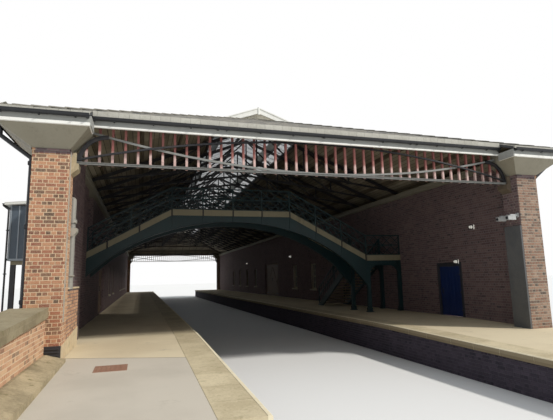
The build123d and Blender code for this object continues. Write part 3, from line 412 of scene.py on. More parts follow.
def make_roof_boards():
    """Slate bed on top and painted boarding on the underside of the roof slabs."""
    mat = Shader("roof_boards", 0.8, specular=0.3)
    _, y, z = mat.axes
    below = mat.below(mat.facing[2], 0.0)
    board = mat.over(z, 0.036)
    share = mat.fraction(board)
    gap = mat.step(mat.least(share, mat.minus(1.0, share)), 0.02, 0.07)
    length = mat.floor(mat.over(y, 1.4))
    seed = mat.join(mat.floor(board), length, 3.0)
    chance = mat.add("ShaderNodeTexWhiteNoise", {"Vector": seed}, noise_dimensions="3D").outputs["Value"]
    paint = mat.ramp(chance, (0.0, "#8a806c"), (0.5, "#9e947e"), (1.0, "#b0a690"))
    # Soot patches darken the underside boards.
    darkening = mat.step(mat.noise(0.9, 5.0, 0.65), 0.42, 0.7)
    paint = mat.mix(mat.times(darkening, 0.6), paint, "#544c40")
    paint = mat.mix(gap, "#2c2822", paint)
    mat.colour(mat.mix(below, "#46484a", paint))
    mat.bump(gap, 0.004, 0.8)
    return mat.material


def paint_layers(mat, palette, chips, streaks):
    """Colour of old paint with patches, streaks and chips, and the mask of its chips."""
    base, worn, dirt = tones(palette)
    patch = mat.step(mat.noise(3.1, 5.0, 0.6), 0.4, 0.7)
    colour = mat.mix(mat.times(patch, 0.35), base, worn)
    tint = mat.geometry.outputs["Random Per Island"]
    colour = mat.mix(mat.times(tint, 0.22), colour, worn)
    streak = mat.step(mat.noise(7.0, 5.0, 0.65, stretch=(1.0, 1.0, 0.16)), 0.52, 0.78)
    colour = mat.mix(mat.times(streak, streaks), colour, dirt)
    chip = mat.step(mat.noise(58.0, 5.0, 0.75), chips, chips + 0.05)
    return mat.mix(chip, colour, dirt), chip


def make_paint(name, palette, roughness=0.5, metallic=0.0, grain=(1.0, 1.0, 1.0), chips=0.62, streaks=0.35):
    """Weathered paint: soft patches, dirt streaks, small chips and a faint brushed grain."""
    mat = Shader(name, roughness, metallic, 0.45)
    colour, chip = paint_layers(mat, palette, chips, streaks)
    mat.colour(colour)
    fine = mat.noise(120.0, 3.0, 0.6, stretch=grain)
    height = mat.minus(mat.times(fine, 0.4), mat.times(chip, 0.5))
    mat.bump(height, 0.0016, 0.5)
    mat.rough(mat.plus(roughness - 0.08, mat.times(fine, 0.18)))
    return mat.material


def make_bars():
    """Bar paint in two copies: pale pink below as painted sunlight, red-brown above as painted shade."""
    mat = Shader("red_bars", 0.65, 0.0, 0.45)
    sunlit_pink = paint_layers(mat, "#ceaca4 #dcc4be #8e6862", 0.62, 0.3)[0]
    red = paint_layers(mat, "#8e5650 #a47068 #583632", 0.6, 0.4)[0]
    wander = mat.times(mat.noise(9.0, 3.0, 0.6, stretch=(1.0, 1.0, 0.3)), 0.06)
    # Painted light: the pink copy below about z 2.93 is painted sunlight, and the red-brown copy above it is
    # painted shade.
    mat.colour(mat.mix(mat.step(mat.plus(mat.axes[2], wander), 2.93, 2.99), sunlit_pink, red))
    mat.bump(mat.noise(120.0, 3.0, 0.6, stretch=(1.0, 1.0, 0.08)), 0.0016, 0.5)
    return mat.material


def make_girder():
    """Grey girder paint; the undersides take a near-black copy with rust-brown chips as painted shade."""
    mat = Shader("grey_iron", 0.5, 0.0, 0.45)
    grey = paint_layers(mat, "#80817e #94948e #54483e", 0.64, 0.35)[0]
    darkening = paint_layers(mat, "#282728 #363230 #4a3a30", 0.64, 0.35)[0]
    # Painted shade: faces that look down take the near-black copy.
    mat.colour(mat.mix(mat.below(mat.facing[2], -0.5), grey, darkening))
    mat.bump(mat.noise(120.0, 3.0, 0.6), 0.0016, 0.5)
    return mat.material


def make_pipes():
    """Black downpipes on the outer walls; the post pipe inside the left pier is grey."""
    mat = Shader("rain_pipes", 0.42, 0.0, 0.45)
    across = mat.size(mat.minus(mat.axes[0], SHIFT.x))
    outside = mat.step(across, INNER, INNER + 0.05)
    black = paint_layers(mat, "#1a1c21 #2c2e34 #3e3834", 0.66, 0.3)[0]
    grey = paint_layers(mat, "#96958e #aca89e #686258", 0.6, 0.4)[0]
    mat.colour(mat.mix(outside, grey, black))
    mat.bump(mat.noise(110.0, 3.0, 0.6), 0.0014, 0.4)
    return mat.material


def stone_layers(mat, palette, moss_share):
    """Colour of weathered stone, with its grain and patches."""
    base, pale, dark = tones(palette)
    grain = mat.noise(46.0, 6.0, 0.7)
    patch = mat.noise(2.2, 5.0, 0.6)
    colour = mat.mix(mat.step(patch, 0.35, 0.65), base, pale)
    tint = mat.geometry.outputs["Random Per Island"]
    colour = mat.mix(mat.times(tint, 0.3), colour, dark)
    colour = mat.mix(mat.times(mat.step(grain, 0.45, 0.75), 0.4), colour, dark)
    speck = mat.step(mat.noise(16.0, 6.0, 0.8), 0.52, 0.6)
    colour = mat.mix(mat.times(speck, 0.35), colour, pale)
    moss = mat.step(mat.noise(9.0, 6.0, 0.72), 0.55, 0.68)
    colour = mat.mix(mat.times(moss, moss_share), colour, "#706c42")
    return colour, grain, patch


def make_stone(name, palette, moss_share=0.3, sides=None):
    """Weathered stone; sides is the tone of painted shade on the faces that look along x, towards the track.
    """
    mat = Shader(name, 0.88, specular=0.25)
    colour, grain, patch = stone_layers(mat, palette, moss_share)
    if sides:
        # Painted shade: faces that look along x take the darker sides tone.
        upright = mat.step(mat.size(mat.facing[0]), 0.6, 0.8)
        colour = mat.mix(mat.times(upright, 0.85), colour, sides)
    mat.colour(colour)
    mat.bump(mat.plus(grain, mat.times(patch, 0.6)), 0.004, 0.6)
    return mat.material


def make_risers():
    """Grey render on the right pier's strip, mossy stone on the splayed base at the left."""
    mat = Shader("rendered_risers", 0.88, specular=0.25)
    left = mat.below(mat.axes[0], 0.0)
    grey = stone_layers(mat, "#5c5e61 #6a6b6c #48494b", 0.1)[0]
    mossy, grain, _ = stone_layers(mat, "#94886e #c4b494 #5c5442", 0.8)
    mat.colour(mat.mix(left, grey, mossy))
    mat.bump(grain, 0.003, 0.5)
    return mat.material


def make_dressings():
    """Pale padstones, darker on the right half as painted shade, and the mossy capping of the boundary wall.
    """
    mat = Shader("stone_dressings", 0.88, specular=0.25)
    x, y, _ = mat.axes
    mossy = stone_layers(mat, "#baac8e #cec0a2 #847860", 0.4)[0]
    right_shade = stone_layers(mat, "#685c4e #7a6e5e #484038", 0.3)[0]
    capping, grain, _ = stone_layers(mat, "#92866c #a69b80 #645c48", 0.6)
    # Painted shade: the padstones on the right half take the darker copy.
    colour = mat.mix(mat.above(x, SHIFT.x), mossy, right_shade)
    mat.colour(mat.mix(mat.below(y, FRONT + SHIFT.y - 0.02), colour, capping))
    mat.bump(grain, 0.004, 0.6)
    return mat.material


def make_platform():
    """Grey asphalt before a skewed joint and pale paving behind it; dark brick in painted shade on the
    upright faces.
    """
    mat = Shader("platform_paving", 0.92, specular=0.2)
    x, y, _ = mat.axes
    up = mat.above(mat.facing[2], 0.6)
    fine = mat.noise(240.0, 4.0, 0.75)
    patch = mat.step(mat.noise(0.8, 4.0, 0.5), 0.42, 0.6)
    asphalt = mat.mix(patch, "#cec6b8", "#c4bcae")
    paving = mat.mix(patch, "#e2d4b6", "#d8c9ab")
    wander = mat.times(mat.noise(2.0, 3.0), 0.05)
    seam = mat.plus(mat.plus(y, wander), mat.times(x, 0.344))
    right = mat.above(x, SHIFT.x)
    behind = mat.plus(mat.minus(seam, PAVING_SEAM), mat.times(right, 9.0))
    base = mat.mix(mat.above(behind, 0.0), asphalt, paving)
    gap = mat.step(mat.size(behind), 0.004, 0.012)
    base = mat.mix(gap, "#786c5a", base)
    streak = mat.step(mat.noise(3.0, 5.0, 0.7), 0.58, 0.72)
    base = mat.mix(mat.times(streak, 0.3), base, "#968c7a")
    base = mat.mix(mat.times(mat.step(fine, 0.5, 0.78), 0.4), base, "#8a8274")
    body, chance = brick_pattern(mat)[:2]
    # Painted shade: the upright faces take dark bluish brick.
    face = mat.ramp(chance, (0.0, "#322d36"), (0.4, "#3e3740"), (1.0, "#4a424c"))
    face = mat.mix(body, "#545058", face)
    mat.colour(mat.mix(up, face, base))
    height = mat.mix(up, mat.times(body, 1.0), mat.plus(fine, gap))
    mat.bump(height, 0.0018, 0.5)
    return mat.material


def make_glass(name, tint, alpha, roughness=0.18):
    mat = Shader(name, roughness, specular=0.6)
    grime = mat.step(mat.noise(5.0, 5.0, 0.65, stretch=(1.0, 1.0, 0.4)), 0.4, 0.8)
    mat.colour(mat.mix(grime, tint, "#969c98"))
    mat.out.inputs["Alpha"].default_value = alpha
    mat.bump(mat.noise(8.0, 2.0), 0.002, 0.25)
    return mat.material


def make_lamp():
    mat = Shader("opal_lamp", 0.3, specular=0.6)
    mist = mat.noise(30.0, 3.0)
    mat.colour(mat.mix(mist, "#f6f6ee", "#e4e4da"))
    mat.out.inputs["Emission Color"].default_value = tone("#fffcf0")
    mat.out.inputs["Emission Strength"].default_value = 0.35
    mat.bump(mat.noise(160.0, 2.0), 0.0006, 0.3)
    return mat.material


materials = {
    # Painted light on the brickwork: sunlit piers, painted sunlight on the left pier's inner faces, and
    # painted shade on the right pier's inner faces, the inner wall faces and the track faces.
    "brick": make_brick(
        "brick_piers", SUNLIT, (left_reveals, PALE_SUNLIT_TONES), (right_half, GREY_RIGHT_TONES), (right_reveals, INNER_SHADE_TONES)
    ),
    "pale_sunlit_brick": make_brick("brick_boundary", PALE_SUNLIT_TONES),
    "brick_dark": make_brick("brick_walls", INNER_SHADE_TONES, (outer_faces, SUNLIT)),
    "track_brick": make_brick("brick_platforms", TRACK_SHADE_TONES),
    "slate": make_slate(),
    "roof_boards": make_roof_boards(),
    "cream_timber": make_paint("cream_box", "#938e7e #847f6e #625a4a", 0.6, streaks=0.45),
    # Light grey fascia paint, darkened further as painted shade.
    "white_timber": make_paint("white_boards", "#a0a19d #92928c #706e66", 0.5),
    "grey_iron": make_girder(),
    "dark_iron": make_paint("dark_iron", "#1e1e22 #302f32 #483830", 0.5, chips=0.66),
    "pink_timber": make_bars(),
    # Teal paint, darkened part of the way as painted shade.
    "teal_iron": make_paint("teal_iron", "#0e2a2e #1a3a3c #2e2e28", 0.42, chips=0.66),
    # Cream band paint, dimmed part of the way as painted shade.
    "cream_iron": make_paint("cream_band", "#8e876e #7e7760 #4e4636", 0.5, streaks=0.55),
    "roof_timber": make_paint("roof_timber", "#5c5242 #746854 #342e26", 0.75),
    "louvre_timber": make_paint("louvres", "#bebeb6 #a4a49c #6e6c64", 0.6),
    "ridge_lead": make_paint("ridge_lead", "#787c80 #929496 #545658", 0.45, 0.3),
    # Black gutter paint, partly the gutters' own colour and partly painted shade for the dark line under the
    # eaves.
    "gutter_iron": make_paint("gutter_black", "#222428 #34363a #4a4640", 0.45),
    "pipe_iron": make_paint("pipe_black", "#1e2026 #303238 #463e38", 0.4),
    "glass": make_glass("window_glass", "#262e34", 0.9, 0.3),
    "roof_glass": make_glass("roof_glass", "#e0e8ee", 0.42, 0.3),
    "tread_timber": make_paint("treads", "#6c5e4c #867660 #3e362c", 0.8, grain=(0.1, 1.0, 1.0)),
    # Off-white panelling painted dark blue-grey as painted shade.
    "panel_paint": make_paint("panels", "#505c67 #46505a #343a40", 0.5),
    "felt_roof": make_paint("sheet_roof", "#e0e1da #cccdc6 #8c8c82", 0.55),
    "post_iron": make_paint("posts", "#2e2e32 #424244 #54443a", 0.5),
    "frame_timber": make_paint("joinery", "#beb8a6 #a49e8c #706452", 0.55),
    "door_blue": make_paint("blue_door", "#0c265c #16326a #303642", 0.42, grain=(1.0, 1.0, 0.08)),
    "closed_door_timber": make_paint(
        "yard_doors", "#685240 #7c6652 #42342a", 0.65, grain=(1.0, 1.0, 0.08)
    ),
    "lamp_white": make_lamp(),
    "camera_grey": make_paint("camera_shell", "#bec0c0 #a8aaaa #6e6e6c", 0.4),
    # Painted shade on the faces of the copings and sills that look along x.
    "stone": make_stone("sandstone", "#cabc9c #ded0b0 #928468", sides="#7a6c54"),
    "mossy_stone": make_stone("mossy_stone", "#92866c #a69b80 #645c48", 0.6),
    "plinth": make_stone("pale_render", "#decaa8 #e8d8b8 #b09874", 0.35),
}
materials["dressings"] = make_dressings()
materials["platform_surface"] = make_platform()
materials["hip_stone"] = make_stone("hip_stone", "#848178 #96938a #605e58", 0.35)
materials["rust_iron"] = make_paint("drain_iron", "#96705c #ac8c76 #684e40", 0.7)
materials["bright_white"] = make_paint("bargeboards", "#f6f6f0 #ecebe4 #ccc8bc", 0.5)
materials["gable_paint"] = make_paint("gable_boards", "#e8e2d2 #dad3c2 #a8a08e", 0.55)
# Pale nosing, with painted shade on its faces that look along x.
materials["nosing"] = make_stone("nosing_stone", "#eee2c4 #f6ecd0 #d2c2a0", 0.1, "#84765c")
materials["glazing_bar"] = make_paint("glazing_bars", "#3a3c3e #545658 #6e6c68", 0.5)
materials["eaves_slate"] = make_stone("eaves_slate", "#bebcb2 #c8c6bc #969288", 0.15)
materials["house_frame"] = make_paint("house_frames", "#96a0a8 #869098 #5c6266", 0.5)
materials["dark_frame"] = make_paint("dark_frame", "#2e3038 #404046 #544c44", 0.5)
materials["conduit"] = make_paint("conduit", "#a8a69c #bab6aa #787266", 0.5)
materials["pipes"] = make_pipes()
materials["risers"] = make_risers()

NODE_MATERIALS = {
    "left_platform": "platform_surface",
    "right_platform": "platform_surface",
    "platform_copings": "stone",
    "left_wall_front": "brick_dark",
    "left_wall_under_bridge": "brick_dark",
    "left_wall_back": "brick_dark",
    "right_wall_front": "brick_dark",
    "right_wall_under_door": "brick_dark",
    "right_wall_over_door": "brick_dark",
    "right_wall_back": "brick_dark",
    "corner_piers": "brick",
    "corner_boxes": "cream_timber",
    "stone_dressings": "dressings",
    "end_girders": "grey_iron",
    "girder_arches": "dark_iron",
    "girder_bars": "pink_timber",
    "left_roof_slope": "roof_boards",
    "right_roof_slope": "roof_boards",
    "hipped_roof_ends": "roof_boards",
    "roof_glazing": "roof_glass",
    "lantern_sides": "louvre_timber",
    "lantern_gables": "gable_paint",
    "lantern_ridge": "ridge_lead",
    "roof_trusses": "dark_iron",
    "roof_purlins": "roof_timber",
    "hip_end_rafters": "roof_timber",
    "wall_plates": "cream_timber",
    "side_soffits": "cream_timber",
    "fascia_boards": "white_timber",
    "gutters": "gutter_iron",
    "downpipes": "pipes",
    "bridge_ribs": "teal_iron",
    "bridge_bands": "cream_iron",
    "bridge_decks": "tread_timber",
    "bridge_railings": "teal_iron",
    "bridge_columns": "teal_iron",
    "stair_treads": "tread_timber",
    "stair_sides": "teal_iron",
    "stair_house_walls": "panel_paint",
    "stair_house_roof": "felt_roof",
    "stair_house_posts": "post_iron",
    "door_frame": "dark_frame",
    "platform_door": "door_blue",
    "window_frames": "frame_timber",
    "window_panes": "glass",
    "closed_doors": "closed_door_timber",
    "boundary_wall": "pale_sunlit_brick",
    "wall_lamps": "lamp_white",
    "security_camera": "camera_grey",
    "pier_riser": "risers",
}
BEVELS = {
    "end_girders": 0.003,
    "girder_bars": 0.004,
    "fascia_boards": 0.004,
    "gutters": 0.004,
    "corner_boxes": 0.006,
    "bridge_bands": 0.005,
    "bridge_columns": 0.004,
    "stair_treads": 0.004,
    "platform_copings": 0.008,
    "stone_dressings": 0.01,
    "door_frame": 0.003,
    "platform_door": 0.003,
    "window_frames": 0.003,
    "stair_house_posts": 0.004,
    "stair_house_roof": 0.004,
    "pier_riser": 0.006,
    "wall_plates": 0.006,
    "lantern_gables": 0.004,
    "roof_purlins": 0.003,
    "security_camera": 0.004,
    "wall_lamps": 0.004,
    "closed_doors": 0.004,
}


def dress_nodes():
    """Puts the materials on the CAD nodes and softens their edges."""
    for node, key in NODE_MATERIALS.items():
        shown = bpy.data.objects[node]
        shown.data.materials.clear()
        shown.data.materials.append(materials[key])
        if node in BEVELS:
            edge = shown.modifiers.new("edge", "BEVEL")
            edge.width = BEVELS[node]
            edge.segments = 2
            edge.limit_method = "ANGLE"
            edge.angle_limit = math.radians(40)


# ---- Mesh helpers
SIDES = (-1, 1)
FRONTWARD = (0, -1, 0)
DOWN = (0, 0, -1)
BOX_FACES = [(0, 3, 2, 1), (4, 5, 6, 7), (0, 1, 5, 4), (1, 2, 6, 5), (2, 3, 7, 6), (3, 0, 4, 7)]


def spaced(start, end, pitch):
    """Places at about a pitch from start to end, both kept."""
    count = max(1, round(abs(end - start) / pitch))
    return [start + (end - start) * index / count for index in range(count + 1)]


def lengths(places, gap=0.0):
    """Start and end between neighbouring places, with a gap cut from both."""
    return [(first + gap, second - gap) for first, second in zip(places, places[1:])]


def shares(start, end, count, gap=0.0):
    """Start and end of each of count equal lengths, with a gap cut from both."""
    return lengths([start + (end - start) * index / count for index in range(count + 1)], gap)


class Mesh:
    """Points and faces of one piece, gathered in shed coordinates."""

    def __init__(self):
        self.points = []
        self.faces = []

    def add(self, points, faces):
        start = len(self.points)
        self.points.extend(points)
        self.faces.extend(tuple(start + index for index in face) for face in faces)

    def box(self, corner, opposite, chamfer=0.0):
        """Box between two opposite corners, its edges chamfered if asked."""
        low = [min(pair) for pair in zip(corner, opposite)]
        high = [max(pair) for pair in zip(corner, opposite)]
        if chamfer:
            self.chamfered(low, high, chamfer)
            return
        (ax, ay, az), (bx, by, bz) = low, high
        ring = [(ax, ay), (bx, ay), (bx, by), (ax, by)]
        self.add([(x, y, z) for z in (az, bz) for x, y in ring], BOX_FACES)

    def chamfered(self, low, high, cut):
        """Box with all its edges chamfered: six faces, twelve strips and eight corners."""
        middle = [(a + b) / 2 for a, b in zip(low, high)]
        half = [(b - a) / 2 for a, b in zip(low, high)]
        cut = min(cut, min(half) * 0.9)
        at, points, faces = {}, [], []
        for signs in product(SIDES, repeat=3):
            for axis in range(3):
                at[(*signs, axis)] = len(points)
                reach = [half[i] if i == axis else half[i] - cut for i in range(3)]
                points.append(tuple(middle[i] + signs[i] * reach[i] for i in range(3)))
        for axis in range(3):
            first, second = [i for i in range(3) if i != axis]

            def corner(along, a, b, face):
                signs = [0, 0, 0]
                signs[axis], signs[first], signs[second] = along, a, b
                return at[(*signs, face)]

            for sign in SIDES:
                ring = [corner(sign, a, b, axis) for a, b in ((-1, -1), (1, -1), (1, 1), (-1, 1))]
                faces.append(tuple(ring if (sign > 0) == (axis != 1) else reversed(ring)))
            for a, b in product(SIDES, repeat=2):
                turns = ((-1, first), (1, first), (1, second), (-1, second))
                strip = [corner(along, a, b, face) for along, face in turns]
                faces.append(tuple(reversed(strip) if (a * b > 0) == (axis != 1) else strip))
        for signs in product(SIDES, repeat=3):
            cap = [at[(*signs, axis)] for axis in range(3)]
            faces.append(tuple(cap if math.prod(signs) > 0 else reversed(cap)))
        self.add(points, faces)

    def prism(self, near, far):
        """Closed prism between two rings of points that match."""
        count = len(near)
        faces = [(i, (i + 1) % count, count + (i + 1) % count, count + i) for i in range(count)]
        faces += [tuple(range(count)), tuple(reversed(range(count, 2 * count)))]
        self.add(near + far, faces)

    def extrude_y(self, outline, start, end):
        """Prism along y from an (x, z) outline."""
        self.prism(*([(x, y, z) for x, z in outline] for y in sorted((start, end))))

    def extrude_x(self, outline, start, end):
        """Prism along x from a (y, z) outline."""
        self.prism(*([(x, y, z) for y, z in outline] for x in sorted((start, end))))

    def strap(self, start, end, half, near, far):
        """Short flat length along a sloping line in x and z, half a thickness to each side."""
        (ax, az), (bx, bz) = start, end
        self.extrude_y([(ax, az - half), (bx, bz - half), (bx, bz + half), (ax, az + half)], near, far)

    def bar(self, start, end, width, depth, up=(0, 0, 1)):
        """Straight bar between two points, width across and depth towards up."""
        start, end = Vector(start), Vector(end)
        along = (end - start).normalized()
        side = along.cross(Vector(up))
        if side.length < 1e-6:
            side = along.cross(Vector((0, 1, 0)))
        side.normalize()
        top = side.cross(along).normalized()
        side, top = side * width / 2, top * depth / 2
        ring = [-side - top, side - top, side + top, -side + top]
        self.add(
            [tuple(place + item) for place in (start, end) for item in ring],
            BOX_FACES[2:] + [(3, 2, 1, 0), (4, 5, 6, 7)],
        )

    def disc(self, centre, normal, radius, height, sides=6, dome=0.5):
        """Low domed rivet or nut head standing on a surface."""
        centre, normal = Vector(centre), Vector(normal).normalized()
        first = normal.orthogonal().normalized()
        second = normal.cross(first)
        points, faces = [], []
        for reach, lift in ((1.0, 0.0), (0.92, height * dome), (0.5, height)):
            for index in range(sides):
                turn = 2 * math.pi * index / sides
                spoke = (first * math.cos(turn) + second * math.sin(turn)) * radius * reach
                points.append(tuple(centre + spoke + normal * lift))
        for low in (0, sides):
            for index in range(sides):
                after = (index + 1) % sides
                faces.append((low + index, low + after, low + sides + after, low + sides + index))
        faces.append(tuple(2 * sides + index for index in range(sides)))
        self.add(points, faces)

    def rivets(self, places, normal, radius=0.006, height=0.005):
        for place in places:
            self.disc(place, normal, radius, height)

    def mirrored(self, axis):
        """Adds the same faces on the other side of the shed's middle, across x (0) or y (1)."""
        count = len(self.points)
        self.points += [tuple(-v if i == axis else v for i, v in enumerate(point)) for point in self.points]
        self.faces += [tuple(count + index for index in reversed(face)) for face in self.faces]

    def finish(self, name, key, slot, body=SHED, recalc=True):
        """Makes the object, with its place in the mesh, and rides it on its body."""
        mesh = bpy.data.meshes.new(name)
        mesh.from_pydata([(x + SHIFT.x, y + SHIFT.y, z) for x, y, z in self.points], [], self.faces)
        if recalc:
            build = bmesh.new()
            build.from_mesh(mesh)
            bmesh.ops.recalc_face_normals(build, faces=build.faces)
            build.to_mesh(mesh)
            build.free()
        mesh.update()
        mesh.materials.append(materials[key])
        made = bpy.data.objects.new(name, mesh)
        bpy.context.scene.collection.objects.link(made)
        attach(made, body)
        return made


# ---- Brickwork as real bricks standing proud of their mortar
BRICK_EDGE = 0.0012
BRICK_FACES = [(4, 5, 6, 7), (0, 1, 5, 4), (1, 2, 6, 5), (2, 3, 7, 6), (3, 0, 4, 7)]
SMALLEST_BRICK = 0.01


def courses(low, high):
    """Bottom and top of each row of bricks between two heights, after its number."""
    row = math.floor(low / COURSE)
    while row * COURSE < high:
        bottom = max(low, row * COURSE) + JOINT / 2
        top = min(high, (row + 1) * COURSE) - JOINT / 2
        if top - bottom > 0.012:
            yield row, bottom, top
        row += 1


def brick_runs(row, start, end, shift):
    """Bricks of one row between two places, on the same grid as the material's."""
    pitch = STRETCHER if row % 2 else HEADER
    offset = 0.0 if row % 2 else HEADER * 0.5
    cell = math.floor((start + shift + offset) / pitch)
    while cell * pitch - offset - shift < end:
        low = max(start, cell * pitch - offset - shift) + JOINT / 2
        high = min(end, (cell + 1) * pitch - offset - shift) - JOINT / 2
        if high - low > SMALLEST_BRICK:
            yield low, high
        cell += 1


def lay_bricks(mesh, axis, plane, out, start, end, low, high, holes=(), proud=0.003, top_at=None):
    """Bricks on an upright face. axis is the one that the face looks along: 'x' or 'y'."""
    looks_x = axis == "x"
    shift = SHIFT.y if looks_x else SHIFT.x
    faces = [face[::-1] for face in BRICK_FACES] if (out < 0) == looks_x else BRICK_FACES
    for row, bottom, top in courses(low, high):
        for first, last in brick_runs(row, start, end, shift):
            if top_at and top > top_at((first + last) / 2):
                continue
            spans = [(first, last)]
            for hole_start, hole_end, hole_low, hole_high in holes:
                if top > hole_low and bottom < hole_high:
                    spans = [
                        part
                        for a, b in spans
                        for part in ((a, min(b, hole_start)), (max(a, hole_end), b))
                        if part[1] - part[0] > SMALLEST_BRICK
                    ]
            for a, b in spans:
                reach = out * proud * random.uniform(0.7, 1.2)
                points = []
                for depth, cut in ((plane, 0.0), (plane + reach, BRICK_EDGE)):
                    left, right, foot, head = a + cut, b - cut, bottom + cut, top - cut
                    for along, z in ((left, foot), (right, foot), (right, head), (left, head)):
                        points.append((depth, along, z) if looks_x else (along, depth, z))
                mesh.add(points, faces)


def platform_fall(y):
    """How far the platforms' ramps lie below the level part, as a negative height."""
    return 0.0 if y >= RAMP_END else -RAMP_FALL * (RAMP_END - y) / (RAMP_END - APRON)


def boundary_top(y):
    return 0.955 - 0.112 * (FRONT - y) / (FRONT - APRON)


def pier_bricks():
    mesh = Mesh()
    for end in SIDES:
        near, far = sorted((-end * FRONT, -end * BEHIND_PIER))
        for side in SIDES:
            low, high = sorted((side * PIER_INNER, side * OUTER))
            lay_bricks(mesh, "y", -end * FRONT, end, low, high, 0.0, BOX_FOOT)
            lay_bricks(mesh, "x", side * OUTER, side, near, far, 0.0, BOX_FOOT)
            lay_bricks(mesh, "x", side * PIER_INNER, -side, near, far, PLATFORM, BOX_FOOT)
    mesh.finish("pier_bricks", "brick", "brick", recalc=False)


def boundary_bricks():
    mesh = Mesh()
    inner, outer = -3.44, -3.77
    lay_bricks(mesh, "x", inner, 1, APRON, FRONT, 0.42, 0.96, top_at=boundary_top)
    lay_bricks(mesh, "x", outer, -1, APRON, FRONT, 0.0, 0.96, top_at=boundary_top)
    lay_bricks(mesh, "y", APRON, -1, outer, inner, 0.0, 0.84)
    mesh.finish("boundary_bricks", "pale_sunlit_brick", "brick", recalc=False)


def platform_bricks():
    mesh = Mesh()
    below = PLATFORM - COPING_DEPTH
    lay_bricks(
        mesh, "x", COPING_EDGE + 0.025, -1, APRON, -FRONT, 0.0, below,
        top_at=lambda y: below + platform_fall(y), proud=0.004,
    )
    mesh.mirrored(0)
    mesh.finish("platform_bricks", "track_brick", "brick", recalc=False)


def inner_wall_bricks():
    """Real bricks on the wall faces that the photograph shows near by."""
    right, left, ledge = Mesh(), Mesh(), Mesh()
    door, window = (-13.28, -12.58, 0.0, 1.525), (-5.75, -5.25, 0.9, 1.8)
    lay_bricks(right, "x", INNER, -1, BEHIND_PIER, -6.5, PLATFORM, WALL_TOP, holes=[door, window])
    lay_bricks(left, "x", -RETURN_INNER, 1, BEHIND_PIER, RETURN_END, LEDGE_TOP, WALL_TOP)
    lay_bricks(left, "x", -INNER, 1, RETURN_END, BRIDGE_WALL, PLATFORM, WALL_TOP)
    lay_bricks(left, "x", -OUTER, -1, BEHIND_PIER, BRIDGE_WALL, 0.0, 2.94)
    lay_bricks(ledge, "x", -PIER_INNER, 1, BEHIND_PIER, LEDGE_END, PLATFORM, LEDGE_TOP)
    right.finish("right_wall_bricks", "brick_dark", "brick", recalc=False)
    left.finish("left_wall_bricks", "brick_dark", "brick", recalc=False)
    ledge.finish("ledge_bricks", "brick", "brick", recalc=False)


# ---- Slates, ridge and hip tiles
SLATE_GAUGE = 0.102
SLATE_WIDTH = 0.125
SLATE_OVERHANG = -0.012


def slope_height(distance):
    """Top of the slate bed at a distance in plan from the eaves."""
    return EAVE + RISE * distance + ROOF_TOP


def slate(mesh, corners, place, lift):
    """One wedge-shaped slate from four plan corners: two low ones, then two high ones."""
    heights = (0.009 + lift, 0.009 + lift, 0.0015, 0.0015, 0.001, 0.001)
    points = []
    for (u, v), height in zip(corners + corners[:2], heights):
        x, y, z = place(u, v)
        points.append((x, y, z + height))
    mesh.add(points, [(0, 1, 2, 3), (4, 5, 1, 0), (4, 0, 3), (5, 2, 1)])


def slate_rows(mesh, place, first, last, limits):
    """Rows of slates up a slope. limits gives the spans of v at a distance u."""
    row = 0
    low = first
    while low < last - 0.02:
        high = min(last, low + SLATE_GAUGE * 1.25)
        for start, end, high_start, high_end in limits(low, high):
            offset = SLATE_WIDTH / 2 if row % 2 else 0.0
            cell = math.floor((start - offset) / SLATE_WIDTH)
            while cell * SLATE_WIDTH + offset < end:
                gap = random.uniform(0.0008, 0.002)
                a = cell * SLATE_WIDTH + offset + gap
                b = (cell + 1) * SLATE_WIDTH + offset - gap
                low_a, low_b = max(a, start), min(b, end)
                high_a = min(max(a, high_start), high_end)
                high_b = max(min(b, high_end), high_start)
                if low_b - low_a > 0.012:
                    foot = low + random.uniform(-0.003, 0.003)
                    corners = [(foot, low_a), (foot, low_b)]
                    corners += [(high, max(high_a, high_b)), (high, min(high_a, high_b))]
                    slate(mesh, corners, place, random.uniform(0.0, 0.002))
                cell += 1
        row += 1
        low += SLATE_GAUGE


def side_slates(side, name):
    """Slates of one long slope: up to the skylight, and on past its two ends."""
    mesh = Mesh()

    def place(u, v):
        return (side * (ROOF_HALF - u), v, slope_height(u))

    def whole(low, high):
        return [(ROOF_FRONT + low, -ROOF_FRONT - low, ROOF_FRONT + high, -ROOF_FRONT - high)]

    def beyond(sign):
        inner = -RIDGE_FRONT + 0.01

        def spans(low, high):
            low_end, high_end = max(inner, -ROOF_FRONT - low), max(inner, -ROOF_FRONT - high)
            return [(inner, low_end, inner, high_end) if sign > 0 else (-low_end, -inner, -high_end, -inner)]

        return spans

    slate_rows(mesh, place, SLATE_OVERHANG, ROOF_HALF - SKYLIGHT, whole)
    for sign in SIDES:
        slate_rows(mesh, place, ROOF_HALF - SKYLIGHT, ROOF_HALF - 0.06, beyond(sign))
    mesh.finish(name, "slate", "slate")


def end_slates():
    """Slates of the two hipped ends, which are set back between the corner boxes."""
    mesh = Mesh()

    def corners(low, high):
        return [
            (low - ROOF_HALF, -BOX_INNER, high - ROOF_HALF, -BOX_INNER),
            (BOX_INNER, ROOF_HALF - low, BOX_INNER, ROOF_HALF - high),
        ]

    def whole(low, high):
        return [(low - ROOF_HALF, ROOF_HALF - low, high - ROOF_HALF, ROOF_HALF - high)]

    for sign in SIDES:

        def place(u, v, sign=sign):
            return (v, sign * (-ROOF_FRONT - u), slope_height(u))

        set_back = MIDDLE_EDGE - ROOF_FRONT
        slate_rows(mesh, place, SLATE_OVERHANG, set_back, corners)
        slate_rows(mesh, place, set_back + SLATE_OVERHANG, ROOF_HALF - 0.05, whole)
    mesh.finish("end_slates", "slate", "slate")


